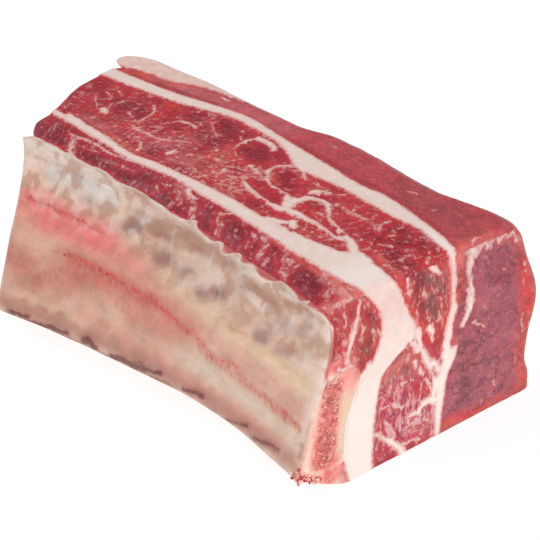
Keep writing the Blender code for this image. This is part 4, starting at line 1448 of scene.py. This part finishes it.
class BoneFinish:
    """Sawn bone: a pale rim, a creamy side and dark pits where the marrow shows."""

    def build(self) -> bpy.types.Material:
        """Make the material.

        Returns:
            The material.
        """
        board = Board("sawn_bone")
        place = board.place
        tint = board.attribute("tint", "Color")
        pits = board.attribute("marbling", "Fac")
        grain = board.stretched((0.94, 0, 0.34), 0.7)
        turned = board.vector("ADD", grain, board.noise_vector(place, 0.5).scaled(1.6))
        bands = board.noise(grain, 0.6, 3, 0.6).rise(0.36, 0.64)
        pores = board.noise(turned, 1.15, 2, 0.6).rise(0.5, 0.6)
        webs = board.noise(turned, 1, 2, 0.6).rise(0.46, 0.36)
        fine = board.noise(place, 2, 2)
        deep = pits.rise(0.3, 1)
        colour = board.mix(bands * pits * 0.6, tint, Hue.RAW_CORAL)
        colour = board.mix(deep * 0.2, colour, Hue.CORAL)
        colour = board.mix(webs * pits * 0.6, colour, Hue.PALE_PINK)
        colour = board.mix(pores * deep * 0.66, colour, Hue.MARROW)
        colour = colour.scaled(0.86 + fine * 0.28)
        height = fine * 0.3 + bands * 0.3 - pores * pits * 0.8
        return board.finish(
            Base_Color=colour,
            Roughness=0.42 + fine * 0.16,
            Specular_IOR_Level=0.3,
            Normal=board.bumped(height, 0.0004, 0.6),
        )


class MembraneFinish:
    """The rib's thin wet membrane, mottled and streaked along the rib, with meat over its upper rim,
    painted highlights on the crests of its folds and painted shade in their hollows.
    """

    def build(self) -> bpy.types.Material:
        """Make the material.

        Returns:
            The material.
        """
        board = Board("rib_membrane")
        place = board.place
        tint = board.attribute("tint", "Color")
        depth = board.attribute("fatness", "Fac")
        ticks = board.attribute("marbling", "Fac")
        run = board.stretched((0.1, 0.95, 0.05), 0.16)
        slanted = board.stretched((0, 0.62, -0.78), 0.5)
        streaks = board.noise(run, 0.55, 2, 0.5).rise(0.3, 0.7)
        mottle = board.noise(slanted, 0.22, 2, 0.5).rise(0.34, 0.66)
        small = board.noise(place, 0.9, 1, 0.5).rise(0.3, 0.7)
        colour = tint.scaled(0.86 + streaks * 0.1 + mottle * 0.12 + small * 0.03)
        colour = board.mix(board.noise(slanted, 0.24, 2).rise(0.5, 0.75) * 0.14, colour, Hue.IVORY)
        colour = board.mix(board.noise(run, 0.3, 2).rise(0.52, 0.75) * 0.25, colour, Hue.DUSKY_PINK)
        curly = board.vector("ADD", slanted, board.noise_vector(place, 0.12, 1).scaled(6))
        folds = board.noise(curly, 0.24, 2, 0.5)
        upper = place.part(2).rise(32, 44)
        # Painted highlights: whitish gleams on the crests of the folds in the upper band.
        painted_gleam = folds.rise(0.5, 0.72) * upper
        # Painted shade: tan darkening in the hollows of the folds, stronger in the upper band.
        hollow_shade = folds.rise(0.49, 0.38) * (0.12 + upper * 0.42)
        colour = board.mix(hollow_shade, colour, Hue.TAN)
        colour = board.mix(painted_gleam * 0.34, colour, Hue.WHITE_FAT)
        upright = board.stretched((0, 0.2, 1), 0.34)
        tick = board.noise(upright, 0.95, 2, 0.55).rise(0.5, 0.62) * ticks
        colour = board.mix(tick * 0.7, colour, Hue.VEIN_RED)
        lines = board.attribute("grain", "Vector")
        ragged = (board.noise(place, 0.8, 3) - 0.5) * 1.4
        vessel = lines.part(0) + ragged
        clot = lines.part(1) + ragged
        broken = board.noise(place, 0.22, 2).rise(0.4, 0.58)
        colour = board.mix(vessel.rise(-2.2, 0.2) * 0.25, colour, Hue.VEIN_RED)
        colour = board.mix(vessel.rise(-0.35, 0.25) * (0.2 + broken * 0.55), colour, Hue.BRIGHT_VESSEL)
        dots = board.cell_centres(place, 0.5).rise(0.36, 0.24) * vessel.rise(-0.6, 0)
        colour = board.mix(dots * 0.8, colour, Hue.GARNET)
        colour = board.mix(clot.rise(-1.4, 0.4) * 0.45, colour, Hue.BROWN)
        colour = board.mix(clot.rise(-0.3, 0.5) * 0.88, colour, Hue.CLOT)
        colour = colour.scaled(0.84)
        edge = depth + board.noise(place, 0.7, 3) - 0.5
        meat = board.mix(board.noise(place, 0.9).rise(0.35, 0.65), Hue.DEEP, Hue.RIM_RED)
        meat = board.mix(edge.rise(-0.7, 0), meat, Hue.ROSE)
        pale = board.mix(edge.rise(1.6, 0.2) * 0.6, colour, Hue.IVORY)
        colour = board.mix(edge.rise(-0.3, 0.3), meat, pale)
        height = streaks * 0.2 + mottle * 0.6 + small * 0.05 + folds * 2.6
        return board.finish(
            Base_Color=colour,
            Roughness=0.24 + small * 0.16,
            Specular_IOR_Level=0.45,
            Coat_Weight=0.1 + mottle * 0.15,
            Coat_Roughness=0.2,
            Normal=board.bumped(height, 0.0005, 0.5),
        )


class CrumbFinish:
    """Moist crumbs of bone and dried blood that the saw left."""

    def build(self) -> bpy.types.Material:
        """Make the material.

        Returns:
            The material.
        """
        board = Board("saw_crumbs")
        place = board.place
        kind = board.noise(place, 0.7, 1).rise(0.42, 0.5)
        warm = board.noise(place, 0.5, 1).rise(0.45, 0.6)
        pale = board.mix(warm, Hue.PALE_PINK, Hue.DUSKY_PINK)
        fine = board.noise(place, 3)
        return board.finish(
            Base_Color=board.mix(kind, Hue.GARNET, pale).scaled(0.8 + fine * 0.4),
            Roughness=0.4 + fine * 0.2,
            Normal=board.bumped(fine, 0.0002, 0.5),
        )


class FloorFinish:
    """A plain white floor with the faintest mottle and a little glow of its own."""

    def build(self) -> bpy.types.Material:
        """Make the material.

        Returns:
            The material.
        """
        board = Board("pale_floor")
        mottle = board.noise(board.place, 0.004, 2)
        white = board.node("ShaderNodeCombineColor", {}, {0: 0.26 + mottle * 0.02, 1: 0.28, 2: 0.275})
        return board.finish(
            Base_Color=white,
            Roughness=0.9,
            Specular_IOR_Level=0.2,
            Emission_Color=(1, 1, 1, 1),
            Emission_Strength=0.8,
        )


Finish = TissueFinish | BoneFinish | MembraneFinish | CrumbFinish | FloorFinish


def carry(mesh: bpy.types.Mesh, surface: Surface) -> None:
    """Give a mesh what its points show, for its finish to read.

    Args:
        mesh: The mesh whose points the surface lists.
        surface: The points and what they show.
    """
    colours = np.ones((len(surface.tint), 4))
    colours[:, :3] = np.clip(surface.tint, 0, 1)
    for name, kind, key, values in (
        ("fatness", "FLOAT", "value", surface.fatness),
        ("marbling", "FLOAT", "value", surface.marbling),
        ("grain", "FLOAT_VECTOR", "vector", surface.grain),
        ("tint", "FLOAT_COLOR", "color", colours),
    ):
        attribute = mesh.attributes.new(name, kind, "POINT")
        attribute.data.foreach_set(key, values.astype(np.float32).ravel())


def belongs(made: bpy.types.Object, slot: str, *nodes: str) -> None:
    """Attach a piece to the root and hide the solids that it stands for.

    Args:
        made: The piece.
        slot: Not used.
        nodes: The solids that it stands for.
    """
    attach(made, "root")
    if nodes:
        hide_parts(*nodes)


def dressed(
    name: str, places: Array, faces: list, surface: Surface | None, finish: Finish
) -> bpy.types.Object:
    """Make a piece's mesh, shaded smooth but for its sharp edges, and dress it.

    Args:
        name: The piece's name.
        places: The points in millimetres, one a row.
        faces: The corners of each face.
        surface: What the points show, where the finish reads that.
        finish: The piece's finish.

    Returns:
        The piece.
    """
    mesh = bpy.data.meshes.new(name)
    mesh.from_pydata(to_metres(places).tolist(), [], faces)
    mesh.shade_smooth()
    mesh.set_sharp_from_angle(angle=math.radians(50))
    made = bpy.data.objects.new(name, mesh)
    bpy.context.scene.collection.objects.link(made)
    if surface is not None:
        carry(mesh, surface)
    mesh.materials.append(finish.build())
    return made


@dataclass(frozen=True)
class Flesh:
    """A layer of meat or fat that shows on the cut faces."""

    node: str
    layer: Layer
    finish: TissueFinish
    width: float
    length: float
    hues: tuple[Hue, Hue]
    end_hues: tuple[Hue, Hue]
    marbling: float
    end_marbling: float
    height: float = HEIGHT
    slot: str = "meat"
    top_fibre: Triple = (0.72, -0.7, 0)
    end_fibre: Triple = (0.15, 0.1, -1)
    streak: float = 0.8
    end_streak: float = 0.4
    fine: tuple[Side, ...] = (Side.TOP, Side.NEAR, Side.FAR)
    step: float = 0.42

    def skin(self) -> Skin:
        """Cut the layer's surface.

        Returns:
            The skin, with closer samples at its rounded rims.
        """
        sizes = (self.width, self.length * (1 - self.layer.first_station), self.height)
        rims = (Side.OUTER in self.fine, False, True)
        samples = tuple(spaced(size, self.step, rim) for size, rim in zip(sizes, rims))
        return Skin(samples, sizes, self.fine)

    def colour(self, surface: Surface) -> None:
        """Lay the meat's own colours and marbling, then what the pictures show.

        Args:
            surface: The points to colour.
        """
        places = surface.places
        share = ramp(Unevenness(31).layered(places, 7), -0.75, 0.55)[:, None]
        tints = [blend(*(hue.linear() for hue in pair), share) for pair in (self.end_hues, self.hues)]
        surface.tint = blend(*tints, surface.top[:, None])
        surface.lay_seams()
        density = blend(self.end_marbling, self.marbling, surface.top)
        surface.marbling = density * (0.85 + 0.35 * Unevenness(32).at(places, 11))
        surface.comb((self.end_fibre, self.end_streak), (self.top_fibre, self.streak))
        surface.draw((TOP_PICTURE, surface.top, 1, 0), (END_PICTURE, surface.near, 0, 2))

    def build(self) -> bpy.types.Object:
        """Make the layer's mesh and dress it.

        Returns:
            The piece.
        """
        shares, faces = self.skin().build()
        surface = Surface(self.layer.place(shares))
        self.colour(surface)
        places = sunk(surface, self.layer.outer is OUTER_SIDE)
        made = dressed("cut_" + self.node, places, faces, surface, self.finish)
        belongs(made, self.slot, self.node)
        return made


@dataclass(frozen=True)
class StripMeat(Flesh):
    """The strip of meat over the rib, with torn wisps of membrane along its inner edge."""

    def colour(self, surface: Surface) -> None:
        """Lay the colours, then the torn membrane that laps over the edge.

        Args:
            surface: The points to colour.
        """
        super().colour(surface)
        torn = blend(-FAR_AWAY, np.minimum(torn_depth(surface.places), 0.7), surface.top)
        surface.fatness = np.maximum(surface.fatness, torn)


@dataclass(frozen=True)
class MiddleMeat(Flesh):
    """The large middle muscle, whose marbling is heavy along its middle and light near its blocks."""

    def colour(self, surface: Surface) -> None:
        """Lay the colours, then set how the marbling changes over the muscle.

        Args:
            surface: The points to colour.
        """
        super().colour(surface)
        _, along, height = surface.places.T
        heavy = smooth_curve(MIDDLE_MARBLING, along)
        for block in LIGHT_BLOCKS:
            heavy *= 1 - 0.55 * ramp(block.inside(surface.places[:, [1, 0]]), -1.5, 1.5)
        surface.marbling *= blend(1, heavy, surface.top)
        lobes = 0.46 * ramp(height, 16, 9) - 0.08 * ramp(height, 26, 22) - 0.16 * ramp(height, 34, 40)
        surface.marbling *= 1 + surface.near * lobes


@dataclass(frozen=True)
class RibBone:
    """The rib, sawn through at both ends of the chunk."""

    layer: Layer
    width: float = 14.0
    height: float = 26.0
    length: float = 118.0
    step: float = 0.5

    def colour(self, surface: Surface, shares: Array) -> None:
        """Lay the pale rim, the salmon bone inside it and the depth of its pits.

        Args:
            surface: The points to colour.
            shares: The same points as fractions of the rib's box.
        """
        edge = np.min(np.minimum(shares, 1 - shares)[:, [0, 2]] * (self.width * 0.8, self.height), axis=1)
        edge = edge + 0.5 * Unevenness(42).at(surface.places, 2)
        rims = ramp(edge, 1.9, 0.9)[:, None]
        surface.tint = blend(Hue.SALMON.linear(), Hue.PALE_PINK.linear(), rims * 0.85)
        surface.draw((END_PICTURE, surface.near, 0, 2))
        height = surface.places[:, 2]
        places = surface.places[:, [0, 2]]
        core = stroke(5.4, (7, 34), (6.6, 24), (5, 12.4)).inside(places)
        rim = stroke(9, (6, 34), (5, 12)).inside(places)
        surface.marbling = 0.25 + 0.3 * ramp(rim, -1, 1) + 0.75 * ramp(core, -1.2, 1)
        side = stroke(4.4, (11.4, 27), (11.6, 15)).inside(places)
        surface.marbling *= 1 - 0.8 * ramp(side, -0.8, 0.8)
        outer = ramp(shares[:, 0] * self.width, self.width - 2.6, self.width - 0.6)
        wrap = np.maximum(ramp(height, 29, 33), ramp(height, 13, 10))
        cream = blend(Hue.IVORY.linear(), Hue.BONE_CREAM.linear(), 0.8)
        milky = blend(cream, Hue.PALE_PINK.linear(), wrap[:, None]) * 0.94
        surface.tint = blend(surface.tint, milky, (outer * surface.near * 0.9)[:, None])

    def build(self) -> bpy.types.Object:
        """Make the rib's mesh and dress it.

        Returns:
            The piece.
        """
        sizes = (self.width, self.length, self.height)
        samples = tuple(spaced(size, self.step) for size in sizes)
        shares, faces = Skin(samples, sizes, (Side.NEAR, Side.FAR)).build()
        surface = Surface(self.layer.place(shares))
        self.colour(surface, shares)
        places = sunk(surface, end_depth=0.3)
        pores = Unevenness(41).layered(places, 1.3)
        places[:, 1] += surface.near * surface.marbling * 0.28 * np.maximum(pores, -0.2)
        made = dressed("sawn_rib", places, faces, surface, BoneFinish())
        belongs(made, "bone", "rib_bone")
        return made


@dataclass(frozen=True)
class RibMembrane:
    """The membrane over the rib's inner side, wrinkled and blotched."""

    layer: Layer
    height: float = 52.0
    length: float = 116.0
    step: float = 0.6
    columns: tuple[float, ...] = (0, 0.05, 0.14, 0.28, 0.5, 0.75, 1)

    def colour(self, surface: Surface) -> None:
        """Lay the membrane's bands and blotches, and find where torn meat covers its upper rim.

        Args:
            surface: The points to colour.
        """
        across, along, height = surface.places.T
        surface.tint[:] = Hue.BEIGE.linear()
        surface.draw((MEMBRANE_PICTURE, np.ones(len(along)), 1, 2))
        deep = across - INNER_FACE.across(along, height) + 0.25 * Unevenness(55).at(surface.places, 1.6)
        end = (ramp(along, 1.5, 0.7) * ramp(deep, 0.5, 0.9) * (1 - surface.top))[:, None]
        inside = blend(Hue.PALE_PINK.linear(), Hue.CRIMSON.linear(), ramp(height, 36, 39)[:, None])
        surface.tint = blend(surface.tint, inside * 1.1, end * 0.85)
        crack = ramp(np.abs(deep - 0.95), 0.3, 0) * ramp(along, 1.2, 0.6) * ramp(height, 24, 16)
        surface.tint = blend(surface.tint, Hue.BROWN.linear(), crack[:, None] * 0.7)
        surface.fatness = torn_depth(surface.places)
        places = surface.places[:, [1, 2]]
        line = stroke(2.6, (4, 22.4), (26, 25), (38, 25), (46, 28), (60, 30.6), (92, 31)).inside(places)
        haze = stroke(9, (58, 27), (96, 24)).inside(places)
        surface.marbling = 0.9 * ramp(line, -1, 1) + 0.25 * ramp(haze, -2, 2)
        moved = surface.wandering(1, 2)
        surface.grain[:, 0] = deepest(VESSELS, moved)
        surface.grain[:, 1] = deepest(CLOTS, moved)

    def wrinkled(self, places: Array) -> Array:
        """Sink the face by its wrinkles and dents.

        Args:
            places: The points, one a row.

        Returns:
            The moved points.
        """
        across, along, height = places.T
        face = ramp(across - INNER_FACE.across(along, height), 1.2, 0.3)
        broad = 0.5 + 0.5 * Unevenness(52).layered(places, 9)
        runs = 0.5 + 0.5 * Unevenness(53).at(places, (3, 14, 2.2))
        dents = 0.5 + 0.5 * Unevenness(54).layered(places, 5)
        upper = ramp(height, 32, 42) * ramp(along, 90, 66)
        depth = 0.3 * broad + 0.12 * runs + (0.06 + 0.8 * upper) * dents
        moved = places.copy()
        moved[:, 0] += face * depth
        moved[:, 1] += CHEWED_DEPTH * chewed(places)
        return moved

    def build(self) -> bpy.types.Object:
        """Make the membrane's mesh and dress it.

        Returns:
            The piece.
        """
        sizes = (MEMBRANE, self.length, self.height)
        stations, levels = spaced(self.length, self.step), spaced(self.height, self.step, rim=True)
        fine = (Side.INNER, Side.TOP, Side.NEAR, Side.FAR, Side.UNDER)
        shares, faces = Skin((np.array(self.columns), stations, levels), sizes, fine).build()
        surface = Surface(self.layer.place(shares))
        self.colour(surface)
        made = dressed("rib_membrane", self.wrinkled(surface.places), faces, surface, MembraneFinish())
        belongs(made, "membrane", "inner_membrane")
        return made


@dataclass(frozen=True)
class SawCrumbs:
    """Crumbs of bone and dried blood on the chewed corner below the rib."""

    count: int = 130
    seed: int = 61
    radii: tuple[float, float] = (0.34, 0.8)
    path: Knots = ((-2.6, 10.6), (-2.2, 9), (-1, 8.2), (0.8, 7.4), (2.8, 6.2), (5.2, 5.2))
    spread: Triple = (0.5, 2.4, 0.8)

    def shape(self) -> tuple[Array, list[list[int]]]:
        """Make a ball of radius 1.

        Returns:
            Its points, one a row, and the corners of its faces.
        """
        ball = bmesh.new()
        bmesh.ops.create_icosphere(ball, subdivisions=2, radius=1)
        points = np.array([corner.co[:] for corner in ball.verts])
        faces = [[corner.index for corner in face.verts] for face in ball.faces]
        ball.free()
        return points, faces

    def build(self) -> bpy.types.Object:
        """Make the crumbs as one mesh and dress it.

        Returns:
            The piece.
        """
        draw = np.random.default_rng(self.seed)
        ball, ball_faces = self.shape()
        path = np.array(self.path)
        steps = np.linspace(0, 1, len(path))
        points, faces = [], []
        for k in range(self.count):
            share = draw.uniform() ** 1.2
            across, height = (np.interp(share, steps, path[:, axis]) for axis in (0, 1))
            across += draw.normal() * self.spread[0]
            height += draw.normal() * self.spread[2]
            radius = draw.uniform(*self.radii)
            along = radius + 0.1 + draw.uniform() ** 2 * self.spread[1] * (1 - share)
            lumps = 1 + 0.5 * Unevenness(62 + k % 7).at(ball + k, 0.9)
            squash = draw.uniform(0.6, 1, 3)
            points.append(np.array([across, along, height]) + ball * lumps[:, None] * squash * radius / 1.3)
            faces += [[corner + k * len(ball) for corner in face] for face in ball_faces]
        made = dressed("saw_crumbs", np.concatenate(points), faces, None, CrumbFinish())
        belongs(made, "bone")
        return made


RIB_LAYER = {"inner": INNER_FACE, "inner_offset": constant(MEMBRANE), "outer": INNER_SEAM_START}
ROUND_SIDES = (Side.TOP, Side.NEAR, Side.FAR, Side.OUTER)

FLESH = (
    StripMeat(
        node="upper_rib_meat",
        layer=Layer(
            **RIB_LAYER, foot=column_curve(BONE_UPPER),
            far_form=((0, -4.5), (0.2, -2), (0.5, 0), (1, 0)),
        ),
        finish=TissueFinish("strip_meat", specks=1, core=0.2, bloom=0.42),
        width=14, height=25, length=118,
        hues=(Hue.DEEP, Hue.WINE), end_hues=(Hue.GARNET, Hue.BROWN_RED), marbling=0.6, end_marbling=0.8,
        top_fibre=(0.72, 0.69, 0), end_fibre=(0.2, 0.1, -1), streak=0.4, step=0.36,
    ),
    Flesh(
        node="lower_rib_meat",
        layer=Layer(**RIB_LAYER, foot=undercut, head=column_curve(BONE_LOWER)),
        finish=TissueFinish("scrap_meat", specks=0.9, rim=0.2, core=0),
        width=14, height=8, length=118,
        hues=(Hue.BROWN, Hue.DUSKY_PINK), end_hues=(Hue.PALE_PINK, Hue.SALMON),
        marbling=0.5, end_marbling=0.5,
        fine=(Side.NEAR, Side.FAR, Side.UNDER), step=0.5,
    ),
    Flesh(
        node="inner_fat_seam", slot="fat",
        layer=Layer(inner=INNER_SEAM_START, outer=INNER_SEAM_END),
        finish=TissueFinish("inner_seam_fat"),
        width=10, length=121,
        hues=(Hue.DEEP, Hue.CRIMSON), end_hues=(Hue.CRIMSON, Hue.RIM_RED), marbling=0.8, end_marbling=0.6,
    ),
    MiddleMeat(
        node="middle_meat",
        layer=Layer(inner=INNER_SEAM_END, outer=OUTER_SEAM_START, far_form=((0, 0), (0.5, 2), (1, 0))),
        finish=TissueFinish("middle_muscle"),
        width=23, length=128,
        hues=(Hue.DEEP, Hue.RUBY), end_hues=(Hue.DEEP, Hue.CRIMSON), marbling=1, end_marbling=0.95,
        step=0.36,
    ),
    Flesh(
        node="outer_fat_seam", slot="fat",
        layer=Layer(inner=OUTER_SEAM_START, outer=OUTER_SEAM_END),
        finish=TissueFinish("outer_seam_fat"),
        width=5, length=133,
        hues=(Hue.DEEP, Hue.CRIMSON), end_hues=(Hue.RIM_RED, Hue.CORAL), marbling=0.6, end_marbling=0.6,
    ),
    Flesh(
        node="outer_meat",
        layer=Layer(inner=OUTER_SEAM_END, outer=OUTER_SIDE, outer_offset=cap_side),
        finish=TissueFinish("outer_muscle", specks=0.3, wisps=0.8, rim=0.25, core=0),
        width=27, length=133,
        hues=(Hue.BRICK, Hue.BRICK), end_hues=(Hue.PLUM, Hue.MAUVE), marbling=0.35, end_marbling=1,
        top_fibre=(0.55, 0.83, 0), end_fibre=(0.55, 0.1, -0.83),
        fine=ROUND_SIDES, step=0.5,
    ),
    Flesh(
        node="outer_fat_cap", slot="fat",
        layer=Layer(
            inner=OUTER_SIDE, inner_offset=cap_side, outer=OUTER_SIDE, first_station=CAP_START,
            far_form=((0, 0.8), (0.3, 4.4), (0.6, 5.2), (0.85, 3.2), (1, 0.5)),
        ),
        finish=TissueFinish("cap_fat", specks=0.5, fat_hue=Hue.CAP_FAT),
        width=8, length=136,
        hues=(Hue.BRICK, Hue.RIM_RED), end_hues=(Hue.BRICK, Hue.RIM_RED), marbling=0.3, end_marbling=0.3,
        fine=ROUND_SIDES, step=0.6,
    ),
)


@dataclass(frozen=True)
class Studio:
    """The floor, the light and the camera."""

    azimuth: float = -36.328
    elevation: float = 35.0
    camera_place: Triple = (-0.19819, -0.28711, 0.26675)
    focal_length: float = 100.0

    def camera(self) -> None:
        """Place the camera at the photograph's angle."""
        data = bpy.data.cameras.new("camera")
        data.lens = self.focal_length
        made = bpy.data.objects.new("camera", data)
        made.location = self.camera_place
        made.rotation_euler = (math.radians(90 - self.elevation), 0, math.radians(self.azimuth))
        bpy.context.scene.collection.objects.link(made)
        bpy.context.scene.camera = made

    def softbox(self, name: str, place: tuple, size: float, power: float, warmth: float = 1) -> None:
        """Hang a square light that points at the chunk.

        Args:
            name: The light's name.
            place: Its place in metres.
            size: Its side in metres.
            power: Its power in watts.
            warmth: Its blue level.
        """
        data = bpy.data.lights.new(name, "AREA")
        data.size = size
        data.energy = power
        data.color = (1, 0.5 + 0.5 * warmth, warmth)
        made = bpy.data.objects.new(name, data)
        aim = Vector((0, 0, 0.03)) - Vector(place)
        made.matrix_world = Matrix.LocRotScale(Vector(place), aim.to_track_quat("-Z", "Y"), None)
        bpy.context.scene.collection.objects.link(made)

    def light(self) -> None:
        """Set up soft light from the front left, with a pale surround."""
        world = bpy.data.worlds.new("surround")
        world.use_nodes = True
        background = world.node_tree.nodes["Background"]
        background.inputs["Color"].default_value = (1, 0.99, 0.98, 1)
        background.inputs["Strength"].default_value = 0.4
        bpy.context.scene.world = world
        self.softbox("key", (-0.42, -0.8, 0.52), 0.4, 5)
        self.softbox("fill", (0.75, -0.6, 0.45), 0.7, 1.4)
        self.softbox("top", (-0.3, 0.35, 0.9), 0.6, 3.4)

    def floor(self) -> None:
        """Lay a wide pale floor."""
        side = 4000.0
        corners = np.array([[x, y, 0] for x, y in ((-1, -1), (1, -1), (1, 1), (-1, 1))]) * side
        made = dressed("floor", corners, [[0, 1, 2, 3]], None, FloorFinish())

    def build(self) -> None:
        """Set up the whole studio."""
        self.camera()
        self.light()
        self.floor()
        bpy.context.scene.view_settings.view_transform = "Standard"


def main() -> None:
    """Build and dress every piece of the chunk."""
    logging.basicConfig(level=logging.INFO, format="%(message)s")
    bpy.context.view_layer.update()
    Studio().build()
    bone = Layer(**RIB_LAYER, foot=column_curve(BONE_LOWER), head=column_curve(BONE_UPPER))
    membrane = Layer(
        inner=INNER_FACE, outer=INNER_FACE, outer_offset=constant(MEMBRANE),
        foot=station_curve(INNER_FOOT), head=station_curve(INNER_HEAD),
    )
    for maker in (*FLESH, RibBone(bone), RibMembrane(membrane), SawCrumbs()):
        piece = maker.build()
        LOG.info("%s: %d faces", piece.name, len(piece.data.polygons))


if __name__ == "__main__":
    main()
